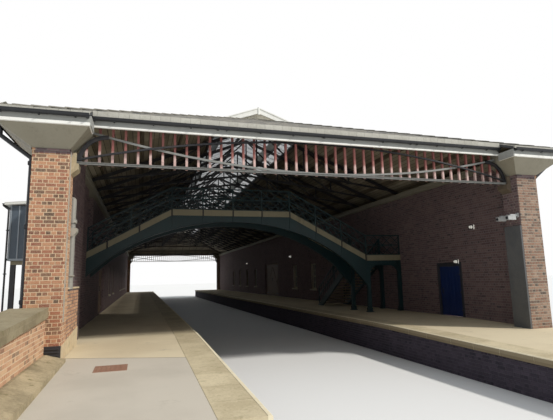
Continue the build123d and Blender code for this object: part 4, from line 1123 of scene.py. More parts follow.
def hip_tiles():
    """Angular stone tiles along the four hips."""
    mesh = Mesh()
    count, wing = 26, 0.085
    faces = [
        (0, 1, 7, 6), (1, 2, 8, 7), (3, 9, 10, 4), (4, 10, 11, 5), (0, 3, 4, 1),
        (1, 4, 5, 2), (6, 7, 10, 9), (7, 8, 11, 10), (0, 6, 9, 3), (2, 5, 11, 8),
    ]
    for sx, sy in product(SIDES, repeat=2):
        eave = Vector((sx * (ROOF_HALF + 0.005), sy * (-ROOF_FRONT + 0.005), slope_height(0)))
        ridge = Vector((0, sy * -RIDGE_FRONT, slope_height(ROOF_HALF)))
        along = (ridge - eave) / count
        for index in range(count):
            points = []
            for steps, lift in ((index, 0.034), (index + 1.12, 0.022)):
                place = eave + along * steps
                for thick in (0.0, 0.014):
                    z = place.z + lift - thick
                    points.append((place.x, place.y + sy * wing, z - RISE * wing))
                    points.append((place.x, place.y, z))
                    points.append((place.x + sx * wing, place.y, z - RISE * wing))
            mesh.add(points, faces)
    mesh.finish("hip_tiles", "hip_stone", "stone")


def eaves_slates():
    """Thick doubled course of slates along the eaves, hanging over the gutters."""
    mesh = Mesh()

    def run(low, high, distance, thick, point):
        cell = math.floor(low / SLATE_WIDTH)
        while cell * SLATE_WIDTH < high:
            a = max(low, cell * SLATE_WIDTH) + 0.0012
            b = min(high, (cell + 1) * SLATE_WIDTH) - 0.0012
            cell += 1
            if b - a <= 0.015:
                continue
            top = slope_height(distance - 0.024) + 0.014 + random.uniform(0.0, 0.003)
            back = slope_height(distance + 0.11) + 0.012
            foot = top - thick
            ring = ((0, a, foot), (0, b, foot), (0, b, top), (0, a, top), (1, a, back), (1, b, back))
            mesh.add([point(*corner) for corner in ring], [(0, 1, 2, 3), (3, 2, 5, 4), (0, 3, 4), (1, 5, 2)])

    ends = (
        (-ROOF_HALF, ROOF_FRONT, -BOX_INNER, 0.045),
        (BOX_INNER, ROOF_FRONT, ROOF_HALF, 0.045),
        (-BOX_INNER, MIDDLE_EDGE, BOX_INNER, 0.075),
    )
    for side in SIDES:
        across = (side * (ROOF_HALF + 0.024), side * (ROOF_HALF - 0.11))
        run(ROOF_FRONT, -ROOF_FRONT, 0.0, 0.045, lambda depth, v, z: (across[depth], v, z))
        for start, edge, end, thick in ends:
            places = (side * (-edge + 0.036), side * (-edge - 0.11))
            run(start, end, edge - ROOF_FRONT, thick, lambda depth, v, z: (v, places[depth], z))
    mesh.finish("eaves_slates", "eaves_slate", "slate")


# ---- Stone copings, slabs and boundary wall
def lowered(mesh, start):
    """Lets the points added since start follow the fall of the platform's ramp."""
    mesh.points[start:] = [(x, y, z + platform_fall(y)) for x, y, z in mesh.points[start:]]


def run_places(start, end, length, spread):
    """Joint places along a run of stones of uneven lengths."""
    places = [start]
    while places[-1] < end - length * 1.4:
        places.append(places[-1] + length * random.uniform(1 - spread, 1 + spread))
    places.append(end)
    return places


def coping_stones():
    """Platform copings as single stones with open joints, and the pale nosing along their edge."""
    mesh, nosing = Mesh(), Mesh()
    outline = [
        (1.575, 0.425), (1.873, 0.425), (1.873, 0.494), (1.94, 0.494),
        (1.94, 0.5015), (1.936, 0.5035), (1.583, 0.5035), (1.575, 0.4965),
    ]
    edge = [(1.573, 0.46), (1.609, 0.46), (1.609, 0.506), (1.585, 0.507), (1.573, 0.498)]
    for near, far in lengths(run_places(APRON, -FRONT, 0.5, 0.15)):
        for part, ring, gap in ((mesh, outline, 0.002), (nosing, edge, 0.0015)):
            start = len(part.points)
            part.extrude_y(ring, near + gap, far - gap)
            lowered(part, start)
    mesh.mirrored(0)
    nosing.mirrored(0)
    made = mesh.finish("coping_stones", "stone", "stone")
    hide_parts("platform_copings")
    nosing.finish("platform_nosing", "nosing", "stone")


def drain_cover():
    """Small iron cover in the asphalt of the left platform."""
    mesh = Mesh()
    left, near = -2.878, -15.684
    mesh.box((left, near, 0.496), (left + 0.322, near + 0.31, 0.502), 0.002)
    for row, column in product(range(6), repeat=2):
        x, y = left + 0.03 + 0.045 * column, near + 0.026 + 0.045 * row
        mesh.box((x, y, 0.501), (x + 0.028, y + 0.028, 0.506), 0.002)
    lowered(mesh, 0)
    mesh.finish("drain_cover", "rust_iron", "grey_iron")


def boundary_stones():
    """Rounded coping stones on the boundary wall, with joints."""
    mesh = Mesh()
    low, high = -3.802, -3.408
    outline = [
        (low, 0.0), (high, 0.0), (high, 0.062), (high - 0.018, 0.088),
        (high - 0.07, 0.106), (low + 0.07, 0.106), (low + 0.018, 0.088), (low, 0.062),
    ]
    for near, far in lengths(run_places(APRON, FRONT, 0.46, 0.12), 0.003):
        start = len(mesh.points)
        mesh.extrude_y(outline, near, far)
        mesh.points[start:] = [
            (x + random.uniform(-0.002, 0.002), y, z + boundary_top(y) + random.uniform(-0.002, 0.002))
            for x, y, z in mesh.points[start:]
        ]
    mesh.finish("boundary_coping_stones", "mossy_stone", "stone")


def pier_plinth():
    """Rendered skin on the inner side of the left pier and its return, with the ledge's cap."""
    mesh, vent = Mesh(), Mesh()
    face, start, low = -PIER_INNER, FRONT + 0.004, PLATFORM - 0.01
    skin = [(start, low), (LEDGE_END, low), (LEDGE_END, 0.735), (start, 0.64)]
    mesh.extrude_x(skin, face + 0.001, face + 0.012)
    cap_start = (-RETURN_INNER - 0.002, BEHIND_PIER + 0.004, LEDGE_TOP)
    mesh.box(cap_start, (face + 0.014, LEDGE_END + 0.006, 1.272), 0.006)
    mesh.finish("pier_plinth", "plinth", "render")
    vent.box((-3.45, FRONT - 0.014, 0.44), (-3.27, FRONT - 0.002, 0.645), 0.004)
    for row in range(5):
        z = 0.47 + 0.034 * row
        vent.box((-3.44, FRONT - 0.024, z), (-3.29, FRONT - 0.01, z + 0.014), 0.003)
    vent.finish("pier_vent", "post_iron", "post_iron")


# ---- Girder, eaves and corner boxes
BAR_COUNT = 42
BAR_PITCH = 0.152326
BAR_PLACES = [-PIER_INNER + BAR_PITCH * index for index in range(1, BAR_COUNT + 1)]
SIDE_GUTTER = EAVE + 0.012
MIDDLE_GUTTER = 3.312


def parabola(x, foot, crown):
    return foot + (crown - foot) * (1 - (x / PIER_INNER) ** 2)


def girder_iron():
    """Flanges, angle irons and rivets of the end girders."""
    grey, dark = Mesh(), Mesh()
    reach, back = PIER_INNER - 0.004, GIRDER_FRONT + 0.001
    grey.box((-reach, GIRDER_FRONT - 0.012, 2.768), (reach, back, 2.775))
    grey.rivets([(x, GIRDER_FRONT, 2.757) for x in spaced(-3.2, 3.2, 0.076)], FRONTWARD)
    for first, second in lengths(spaced(-PIER_INNER + 0.01, PIER_INNER - 0.01, 0.2)):
        for mesh, foot, crown, near, far in (
            (dark, 2.775, 3.199, GIRDER_FRONT - 0.012, back),
            (grey, 3.199, 2.765, -14.82, -14.814),
        ):
            ends = [(x, parabola(x, foot, crown)) for x in (first, second)]
            mesh.strap(*ends, 0.003, near, far)
    inside = spaced(-3.0, 3.0, 0.1)
    dark.rivets([(x, GIRDER_FRONT, parabola(x, 2.788, 3.212)) for x in inside], FRONTWARD)
    for z in (3.221, 3.268):
        dark.box((-3.04, GIRDER_FRONT - 0.014, z), (3.04, back, z + 0.008))
    dark.rivets([(x, GIRDER_FRONT, 3.249) for x in inside], FRONTWARD, 0.007)
    centre = PIER_INNER - 0.41
    for side in SIDES:

        def on_shoe(radius, turn, side=side):
            return side * (centre + radius * math.cos(turn)), 2.775 + radius * math.sin(turn)

        for first, second in lengths(spaced(0.08, math.pi / 2 - 0.02, 0.16)):
            corners = ((0.352, first), (0.352, second), (0.344, second), (0.344, first))
            dark.extrude_y([on_shoe(*corner) for corner in corners][::side], GIRDER_FRONT - 0.012, back)
        for turn in spaced(0.14, math.pi / 2 - 0.1, 0.2):
            x, z = on_shoe(0.325, turn)
            dark.disc((x, GIRDER_FRONT, z), FRONTWARD, 0.007, 0.005)
    # Bolts that hold the upright bars to the chords
    for x in BAR_PLACES:
        grey.disc((x, -14.765, 2.76), (0, 1, 0), 0.007, 0.005)
        grey.box((x - 0.019, -14.8, 2.775), (x + 0.019, -14.761, 2.783))
    grey.mirrored(1)
    dark.mirrored(1)
    grey.finish("girder_flanges", "grey_iron", "grey_iron")
    dark.finish("arch_flanges", "dark_iron", "dark_iron")


def bar_shoes():
    """Small turned mouldings at the feet of the upright bars."""
    mesh = Mesh()
    for x in BAR_PLACES:
        if abs(x) > 3.03:
            continue
        for z in (2.79, 2.83):
            mesh.box((x - 0.018, -14.798, z), (x + 0.018, -14.762, z + 0.01), 0.003)
    mesh.mirrored(1)
    mesh.finish("bar_mouldings", "pink_timber", "pink_timber")


def gutter_strap(mesh, facing, place, board, top, half, inner, low, high, chamfer=0.0):
    """Strap or collar round a gutter on its board, which faces along x or y."""
    sign = 1 if board > 0 else -1
    near, far = board - sign * inner, board + sign * 0.064
    if facing == "y":
        mesh.box((place - half, near, top - low), (place + half, far, top - high), chamfer)
    else:
        mesh.box((near, place - half, top - low), (far, place + half, top - high), chamfer)


def fascia_trim():
    """Bright beads along the foot of the fascias, cover strips and gutter brackets."""
    mesh, iron, board = Mesh(), Mesh(), Mesh()
    low, high = 3.106, 3.146
    mesh.box((-BOX_INNER, MIDDLE_EDGE - 0.008, 3.193), (BOX_INNER, MIDDLE_EDGE + 0.022, 3.217), 0.004)
    board.box((-BOX_INNER, MIDDLE_EDGE - 0.003, 3.205), (BOX_INNER, MIDDLE_EDGE + 0.019, 3.245), 0.003)
    for side in SIDES:
        mesh.box((side * 3.045, ROOF_FRONT - 0.008, low), (side * 4.028, ROOF_FRONT + 0.022, high), 0.004)
        mesh.box((side * 4.028, ROOF_FRONT - 0.006, low), (side * 3.998, 15.231, high), 0.004)
        mesh.box((side * 3.042, ROOF_FRONT, low), (side * 3.068, MIDDLE_EDGE, high), 0.004)
    flat = (0.008, 0.001, 0.046, 0.04)
    for x in spaced(-2.8, 2.8, 0.46):
        gutter_strap(iron, "y", x, MIDDLE_EDGE, MIDDLE_GUTTER, *flat)
    for side in SIDES:
        for x in spaced(3.2, 3.95, 0.37):
            gutter_strap(iron, "y", side * x, ROOF_FRONT, SIDE_GUTTER, *flat)
        for y in spaced(FRONT, -FRONT, 0.6):
            gutter_strap(iron, "x", y, side * ROOF_HALF, SIDE_GUTTER, *flat)
    for part in (mesh, iron, board):
        part.mirrored(1)
    board.finish("fascia_drip_board", "white_timber", "white_timber")
    mesh.finish("fascia_beads", "bright_white", "white_timber")
    iron.finish("gutter_brackets", "gutter_iron", "gutter_iron")


def gutter_outline(board, top):
    """Half-round gutter with a beaded lip, from its board outwards."""
    sign = 1 if board > 0 else -1
    outer, inner = [], []
    for index in range(9):
        turn = math.pi * index / 8
        across, down = 0.03 * math.cos(turn), 0.04 * math.sin(turn)
        outer.append((board + sign * (0.03 - across), top - down))
        inner.append((board + sign * (0.03 - across * 0.8), top - down * 0.82))
    return outer + inner[::-1]


def half_round_gutters():
    """Half-round iron gutters with collars, stop ends and outlets, in place of the plain ones."""
    mesh = Mesh()
    collar = (0.016, 0.001, 0.044, 0.034, 0.003)
    ends = (
        (ROOF_FRONT, SIDE_GUTTER, BOX_INNER, ROOF_HALF),
        (ROOF_FRONT, SIDE_GUTTER, -ROOF_HALF, -BOX_INNER),
        (MIDDLE_EDGE, MIDDLE_GUTTER, -BOX_INNER, BOX_INNER),
    )
    for sign in (1, -1):
        for board, top, start, end in ends:
            mesh.extrude_x(gutter_outline(sign * board, top), start, end)
            lip = sign * (board - 0.058)
            mesh.box((start, lip - 0.005, top - 0.006), (end, lip + 0.005, top + 0.004), 0.002)
            for x in spaced(start + 0.02, end - 0.02, 1.5):
                gutter_strap(mesh, "y", x, sign * board, top, *collar)
    for side in SIDES:
        mesh.extrude_y(gutter_outline(side * ROOF_HALF, SIDE_GUTTER), ROOF_FRONT, -ROOF_FRONT)
        near, far = side * (ROOF_HALF + 0.053), side * (ROOF_HALF + 0.063)
        mesh.box((near, ROOF_FRONT, SIDE_GUTTER - 0.006), (far, -ROOF_FRONT, SIDE_GUTTER + 0.004), 0.002)
        for y in spaced(ROOF_FRONT + 0.02, -ROOF_FRONT - 0.02, 1.8):
            gutter_strap(mesh, "x", y, side * ROOF_HALF, SIDE_GUTTER, *collar)
        for y in (-PIPE_LINE, PIPE_LINE):
            mesh.disc((side * (ROOF_HALF + 0.03), y, SIDE_GUTTER - 0.03), DOWN, 0.034, 0.06, 12)
    made = mesh.finish("half_round_gutters", "gutter_iron", "gutter_iron")
    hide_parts("gutters")


def box_mouldings():
    """Two-tier neck moulding under the flared corner boxes."""
    mesh = Mesh()
    for z, reach, tall in ((BOX_FOOT - 0.03, 0.012, 0.03), (BOX_FOOT - 0.055, 0.006, 0.025)):
        low, high = FRONT - reach, z + tall
        mesh.box((PIER_INNER - reach, low, z), (OUTER + reach, FRONT + 0.004, high), 0.004)
        mesh.box((OUTER - 0.004, low, z), (OUTER + reach, BEHIND_PIER, high), 0.004)
        mesh.box((PIER_INNER - reach, low, z), (PIER_INNER + 0.004, BEHIND_PIER, high), 0.004)
    mesh.mirrored(0)
    mesh.mirrored(1)
    # Partly painted shade: the mouldings mostly take the dark wall brick, which stands for the shadow band
    # under the boxes.
    mesh.finish("pier_neck_mouldings", "brick_dark", "brick")


def plate_trim():
    """Moulded beads along the wall plates."""
    mesh = Mesh()
    for z, reach in ((WALL_TOP, 0.01), (3.222, 0.016)):
        mesh.box((3.395 - reach, -14.66, z), (3.4, 14.66, z + 0.028), 0.006)
    mesh.mirrored(0)
    mesh.finish("wall_plate_beads", "cream_timber", "cream_timber")


# ---- Roof frames and lantern
TRUSS_COUNT = 22
TRUSS_RUN = 22.17


def roof_underside(x):
    return EAVE + RISE * (ROOF_HALF - abs(x))


def truss_gussets():
    """Plates and bolts at the joints of the roof trusses, and flanges on their ties."""
    mesh = Mesh()
    tie_x, tie_z, tie_middle = 3.395, roof_underside(3.395) - 0.0975, 3.85
    plate = ((-0.07, 0), (-0.03, -0.032), (0.03, -0.032), (0.07, 0), (0.03, 0.045), (-0.03, 0.045))
    nodes = []
    for share in (1 / 3, 2 / 3):
        x = tie_x * (1 - share)
        nodes += [(x, tie_z + (tie_middle - tie_z) * share), (x, roof_underside(x) - 0.0975)]
    for index in range(TRUSS_COUNT):
        y = -TRUSS_RUN / 2 + TRUSS_RUN * index / (TRUSS_COUNT - 1)
        for side in SIDES:
            for x, z in nodes:
                x *= side
                mesh.extrude_y([(x + dx, z + dz) for dx, dz in plate], y - 0.019, y + 0.019)
                for dx, dz in ((-0.04, 0.002), (0.04, 0.002), (0.0, 0.025)):
                    for face in SIDES:
                        mesh.disc((x + dx, y + face * 0.019, z + dz), (0, face, 0), 0.007, 0.006)
            # Flange along the raking tie and cleats on the rafter
            mesh.bar((side * tie_x, y, tie_z + 0.018), (side * 0.03, y, 3.868), 0.052, 0.006)
            for x in (1.02, 1.761, 2.501, 3.2):
                z = roof_underside(x) - 0.06
                inner, outer = side * (x - 0.012), side * (x + 0.052)
                mesh.box((inner, y - 0.035, z - 0.002), (outer, y + 0.035, z + 0.004))
        mesh.disc((0, y, 3.8), DOWN, 0.024, 0.02, 8)
        mesh.box((-0.05, y - 0.02, 3.82), (0.05, y + 0.02, 3.9), 0.006)
    mesh.finish("truss_gussets", "dark_iron", "dark_iron")


def lantern_top(x):
    return LANTERN_APEX - LANTERN_RISE * abs(x)


def lantern_parts():
    """Louvres, mullions, gable boards, bargeboards and glazing bars of the ridge lantern."""
    louvres, white, lead, boards = Mesh(), Mesh(), Mesh(), Mesh()
    end, glazed_end = 11.145, 11.2
    foot = EAVE + RISE * (ROOF_HALF - 0.74) + ROOF_TOP
    skylight_foot = roof_underside(1.0) + ROOF_TOP
    for side in SIDES:
        for level in range(4):
            z = foot + 0.012 + 0.052 * level
            blade = [(0.738, z + 0.036), (0.738, z + 0.042), (0.766, z + 0.008), (0.766, z + 0.002)]
            louvres.extrude_y([(side * x, height) for x, height in blade][::-side], -end, end)
        for y in spaced(-end + 0.02, end - 0.02, 1.0134):
            louvres.box((side * 0.738, y - 0.02, foot - 0.004), (side * 0.772, y + 0.02, foot + 0.222), 0.003)
        # Glazing bars on the skylight and on the lantern's roof
        for y in spaced(-11.1, 11.1, 0.3):
            for top, lift, low, high in (
                (roof_underside, ROOF_TOP + 0.006, 1.0, 0.745),
                (lantern_top, 0.028, 0.82, 0.03),
            ):
                lead.bar((side * low, y, top(low) + lift), (side * high, y, top(high) + lift), 0.02, 0.014)
        apron = ((0.97, 0.02), (0.97, 0.012), (1.09, -0.03), (1.09, -0.022))
        lead.extrude_y([(side * x, skylight_foot + dz) for x, dz in apron], -glazed_end, glazed_end)
        lead.box((side * 0.742, -glazed_end, foot - 0.012), (side * 0.762, glazed_end, foot + 0.014), 0.003)
    turns = [turn * math.pi / 5 for turn in range(10)]
    ridge_roll = [(0.022 * math.cos(turn), 5.122 + 0.012 * math.sin(turn)) for turn in turns]
    lead.extrude_y(ridge_roll, -11.32, 11.32)
    for sign in SIDES:

        def out(distance, sign=sign):
            return sign * (-RIDGE_FRONT + distance)

        for a, b in shares(-0.735, 0.735, 18, 0.002):
            low_a, low_b = roof_underside(a) + ROOF_TOP, roof_underside(b) + ROOF_TOP
            high_a, high_b = lantern_top(a) - 0.012, lantern_top(b) - 0.012
            if min(high_a - low_a, high_b - low_b) < 0.01:
                continue
            ring = [(a, low_a - 0.03), (b, low_b - 0.03), (b, high_b), (a, high_a)]
            boards.extrude_y(ring, out(-0.004), out(0.009))
        boards.box((-0.6, out(0.0), LANTERN_FOOT + 0.1), (0.6, out(0.014), LANTERN_FOOT + 0.12), 0.003)
        for x in (-0.3, 0.0, 0.3):
            low, high = roof_underside(x) + ROOF_TOP - 0.02, lantern_top(x) - 0.02
            boards.box((x - 0.014, out(0.0), low), (x + 0.014, out(0.016), high), 0.003)
        # Bargeboards that meet at the apex, with a finial block
        for side in SIDES:
            for outline, near, far in (
                (((0.0, -0.102), (0.845, -0.085), (0.845, 0.032), (0.0, 0.032)), 0.11, 0.13),
                (((0.0, 0.01), (0.86, 0.01), (0.86, 0.034), (0.0, 0.034)), 0.12, 0.142),
            ):
                ring = [(side * x, lantern_top(x) + lift) for x, lift in outline]
                white.extrude_y(ring[::side], out(near), out(far))
        white.box((-0.02, out(0.112), LANTERN_APEX - 0.14), (0.02, out(0.15), LANTERN_APEX + 0.03), 0.006)
    louvres.finish("lantern_louvres", "louvre_timber", "louvre_timber")
    white.finish("lantern_bargeboards", "bright_white", "white_timber")
    boards.finish("lantern_gable_boards", "gable_paint", "white_timber")
    lead.finish("roof_glazing_bars", "glazing_bar", "ridge_lead")


# ---- Footbridge
BAND_TOP = [(-3.67, 1.8), (-1.865, 2.785), (0.711, 2.785), (2.575, 1.8), (3.475, 1.8)]
SOFFIT_CENTRE = -0.577


def path_height(x):
    for (ax, az), (bx, bz) in zip(BAND_TOP, BAND_TOP[1:]):
        if ax <= x <= bx:
            return az + (bz - az) * (x - ax) / (bx - ax)
    return BAND_TOP[-1][1]


def soffit(x):
    share = min(1.0, abs((x - SOFFIT_CENTRE) / 3.45))
    return 2.54 - 2.45 * (1 - math.sqrt(1 - share * share))


def bridge_iron():
    """Stiffeners, flanges and rivets on the footbridge's ribs and edge bands."""
    teal, dark = Mesh(), Mesh()
    posts = [-3.1, -2.5, -1.865, -1.221, -0.577, 0.067, 0.711, 1.332, 1.954, 2.555]
    for side, face in ((-1, BRIDGE_NEAR), (1, BRIDGE_FAR)):
        out = face + side * 0.01
        for x in posts:
            z = path_height(x)
            near, far = out - side * 0.002, out + side * 0.012
            dark.box((x - 0.014, near, z - 0.14), (x + 0.014, far, z + 0.012), 0.003)
            dark.rivets([(x, far, z + dz) for dz in (-0.105, -0.02)], (0, side, 0), 0.008, 0.006)
        # Rivets along the ribs and a flange under them
        for first, second in lengths(spaced(-3.42, 2.56, 0.2)):
            low, high = soffit(first), soffit(second)
            ring = [(first, low - 0.008), (second, high - 0.008)]
            ring += [(second, high + 0.001), (first, low + 0.001)]
            teal.extrude_y(ring, face + side * 0.018, face - side * 0.078)
        for x in spaced(-3.38, 2.5, 0.09):
            teal.rivets([(x, face, soffit(x) + 0.03), (x, face, path_height(x) - 0.15)], (0, side, 0), 0.007)
        for x in posts[2:-1]:
            low, high = soffit(x) + 0.004, path_height(x) - 0.126
            if high - low > 0.05:
                teal.box((x - 0.012, face, low), (x + 0.012, face + side * 0.01, high), 0.003)
    teal.finish("bridge_rib_flanges", "teal_iron", "teal_iron")
    dark.finish("bridge_stiffeners", "dark_iron", "teal_iron")


def bridge_lattice():
    """Crossed flat bars between the rails of the footbridge and its landing."""
    mesh = Mesh()
    corners = [(-INNER, path_height(-INNER))] + BAND_TOP[1:]
    for y in (-11.175, -10.325):
        for index, ((ax, az), (bx, bz)) in enumerate(zip(corners, corners[1:])):
            if index == 3 and y > -11:
                continue
            count = max(2, round((bx - ax) / 0.215))
            for (first, second), (low, high) in zip(shares(ax, bx, count), shares(az, bz, count)):
                for bottom, top in ((0.024, 0.228), (0.247, 0.451)):
                    mesh.bar((first, y - 0.004, low + bottom), (second, y - 0.004, high + top), 0.006, 0.014)
                    mesh.bar((first, y + 0.004, low + top), (second, y + 0.004, high + bottom), 0.006, 0.014)
    mesh.finish("bridge_lattice", "teal_iron", "teal_iron")


def deck_boards():
    """Boards across the level part of the footbridge, and nosings on the treads."""
    mesh = Mesh()
    for start, end, pitch, top in ((-1.86, 0.706, 0.107, DECK), (2.58, 3.47, 0.11, LANDING)):
        for first, second in lengths(spaced(start, end, pitch), 0.002):
            mesh.box((first, -11.138, top - 0.002), (second, -10.362, top + 0.007), 0.002)
    steps = 12
    riser = (DECK - LANDING) / steps
    for start, going, nose in ((0.711, 1.864 / steps, 0.004), (-1.865, -1.805 / steps, -0.004)):
        for index in range(1, steps):
            top, edge = DECK - riser * index, start + going * index
            mesh.box((edge + nose, -11.13, top - 0.03), (edge - going * 0.16, -10.37, top + 0.004), 0.003)
    mesh.finish("deck_boards", "tread_timber", "tread_timber")


def column_trim():
    """Base plates, caps and rivets of the columns under the landing."""
    mesh = Mesh()
    for x, y in product((2.575, 3.395), (-11.2, -10.38)):

        def collar(reach, low, high, chamfer):
            wide = 0.08 + reach
            mesh.box((x - reach, y - reach, low), (min(x + wide, 3.472), y + wide, high), chamfer)

        collar(0.03, 0.5, 0.515, 0.004)
        collar(0.012, 0.515, 0.6, 0.006)
        mesh.rivets([(x + 0.04, y, z) for z in spaced(0.75, 1.4, 0.16)], FRONTWARD, 0.008, 0.006)
        collar(0.01, 1.53, 1.55, 0.004)
    for y in (-11.16, -10.34):
        mesh.rivets([(x, y - 0.015, 1.62) for x in spaced(2.7, 3.35, 0.13)], FRONTWARD, 0.008, 0.006)
        for z in (1.56, 1.664):
            mesh.box((2.655, y - 0.028, z), (3.395, y - 0.012, z + 0.012))
    mesh.finish("column_trim", "teal_iron", "teal_iron")


# ---- Stairs and stair house
def stair_trim():
    """Nosings on the treads, rivets and balusters on the stair sides."""
    wood, iron = Mesh(), Mesh()
    going = 0.14
    flights = ((2.65, 3.42, BRIDGE_FAR, PLATFORM, 16), (-4.65, -3.88, BRIDGE_FAR + 0.01, 0.0, 22))
    for low_x, high_x, start, floor, steps in flights:
        riser = (LANDING - floor) / steps
        for index in range(1, steps):
            top, edge = LANDING - riser * index, start + going * index
            near, far = edge - 0.03, edge + 0.004
            wood.box((low_x + 0.004, near, top - 0.031), (high_x - 0.004, far, top + 0.003), 0.003)
        for x, face in ((low_x - 0.04, -1), (high_x + 0.04, 1)):
            middle = x - face * 0.02
            for index in range(steps - 1):
                y = start + 0.07 + going * index
                z = LANDING + 0.035 - riser / going * (y - start)
                iron.rivets([(x, y, z - 0.05), (x, y, z - 0.15)], (face, 0, 0), 0.008, 0.006)
                iron.bar((middle, y, z - 0.005), (middle, y, z + 0.455), 0.012, 0.012)
    wood.finish("tread_nosings", "tread_timber", "tread_timber")
    iron.finish("stair_balusters", "teal_iron", "teal_iron")


def house_trim():
    """Cover strips, gutter, window bars and roof rolls of the stair house."""
    pale, dark, roof = Mesh(), Mesh(), Mesh()
    front, left = BRIDGE_WALL, -4.81
    for x in spaced(left + 0.012, -3.69, 0.141):
        top = 2.255 if abs(x + 4.22) < 0.27 else 2.78
        pale.box((x - 0.011, front - 0.01, LANDING), (x + 0.011, front + 0.001, top), 0.003)
    for y in spaced(front + 0.012, -10.3, 0.134):
        pale.box((left - 0.01, y - 0.011, LANDING), (left + 0.001, y + 0.011, 2.775), 0.003)
    pale.box((left - 0.012, front - 0.012, 1.75), (-3.672, front + 0.001, 1.79), 0.004)
    pale.box((left - 0.012, front - 0.012, 1.75), (left + 0.001, -10.29, 1.79), 0.004)
    # Window surround, sill and bars
    for ax, az, bx, bz in (
        (-4.5, 2.235, -3.94, 2.265), (-4.5, 2.725, -3.94, 2.75),
        (-4.5, 2.235, -4.47, 2.75), (-3.97, 2.235, -3.94, 2.75),
    ):
        pale.box((ax, front - 0.016, az), (bx, front + 0.004, bz), 0.004)
    for x in (-4.345, -4.22, -4.095):
        pale.box((x - 0.007, front + 0.006, 2.265), (x + 0.007, front + 0.028, 2.725))
    pale.box((-4.47, front + 0.006, 2.488), (-3.97, front + 0.028, 2.502))
    # Fascia, gutter and pipe
    dark.box((-4.925, -11.345, 2.752), (-4.899, -10.195, 2.8), 0.005)
    dark.box((-4.935, -11.35, 2.79), (-4.895, -10.19, 2.806), 0.004)
    pipe_x, pipe_y = -4.835, -11.272
    turns = [turn * math.pi / 4 for turn in range(8)]
    ring = [(pipe_x + 0.017 * math.cos(turn), pipe_y + 0.017 * math.sin(turn)) for turn in turns]
    dark.prism(*([(x, y, z) for x, y in ring] for z in (0.02, 2.74)))
    dark.bar((-4.91, pipe_y, 2.76), (pipe_x, pipe_y, 2.7), 0.03, 0.03, up=(0, 1, 0))
    for z in (0.6, 1.5, 2.3):
        dark.box((-4.858, -11.292, z), (-4.809, -11.25, z + 0.02), 0.003)
    for y in spaced(-11.33, -10.21, 0.28):
        roof.bar((-4.9, y, 2.824), (-3.675, y, 2.934), 0.02, 0.012)
    roof.box((-3.7, -11.34, 2.925), (-3.668, -10.2, 2.975), 0.005)
    pale.finish("house_boards", "house_frame", "panel_paint")
    dark.finish("house_gutter", "gutter_iron", "gutter_iron")
    roof.finish("house_roof_rolls", "felt_roof", "felt_roof")


# ---- Doors and windows
def door_parts():
    """Boards, ledges, braces, hinge bolts and latch of the platform door."""
    boards, iron = Mesh(), Mesh()
    face = 3.48
    for first, second in lengths(spaced(-13.222, -12.638, 0.0973), 0.0014):
        for near, far in ((-0.003, 0.001), (0.029, 0.033)):
            boards.box((face + near, first, 0.512), (face + far, second, 1.466), 0.0014)
    for z in (0.6, 0.97, 1.34):
        boards.box((face + 0.03, -13.215, z), (face + 0.046, -12.645, z + 0.07), 0.003)
    for z in (0.68, 1.05):
        boards.bar((face + 0.038, -13.18, z), (face + 0.038, -12.68, z + 0.28), 0.05, 0.014, up=(1, 0, 0))
    for z, y in product((0.66, 1.31), (-13.17, -13.1)):
        iron.disc((face - 0.003, y, z), (-1, 0, 0), 0.007, 0.004)
    iron.box((face - 0.007, -12.7, 0.93), (face - 0.002, -12.665, 1.05), 0.002)
    iron.disc((face - 0.007, -12.682, 0.95), (-1, 0, 0), 0.008, 0.004, 8)
    boards.finish("door_boards", "door_blue", "door_blue", DOOR)
    iron.finish("door_fittings", "pipe_iron", "door_blue", DOOR)


def frame_trim():
    """Beads round the platform doorway and the stops behind its leaf."""
    mesh = Mesh()
    for near, far in ((-13.3, -13.262), (-12.598, -12.56)):
        mesh.box((3.464, near, PLATFORM), (3.478, far, 1.555), 0.003)
    mesh.box((3.464, -13.3, 1.52), (3.478, -12.56, 1.555), 0.003)
    for near, far in ((-13.286, -13.262), (-12.598, -12.574)):
        mesh.box((3.668, near, PLATFORM), (3.68, far, 1.53), 0.003)
    for near, far in ((-13.262, -13.219), (-12.641, -12.598)):
        mesh.box((3.53, near, PLATFORM), (3.546, far, 1.5), 0.002)
    mesh.box((3.53, -13.262, 1.466), (3.546, -12.598, 1.5), 0.002)
    mesh.finish("doorway_bead", "dark_frame", "frame_timber")


RIGHT_WINDOWS = (9.5, 11.5, 18.0, 20.0, 22.0, 24.0)
LEFT_WINDOWS = (10.5, 12.5, 18.0, 20.0, 22.0, 24.0)
WALL_FACES = ((INNER, -1), (OUTER, 1))


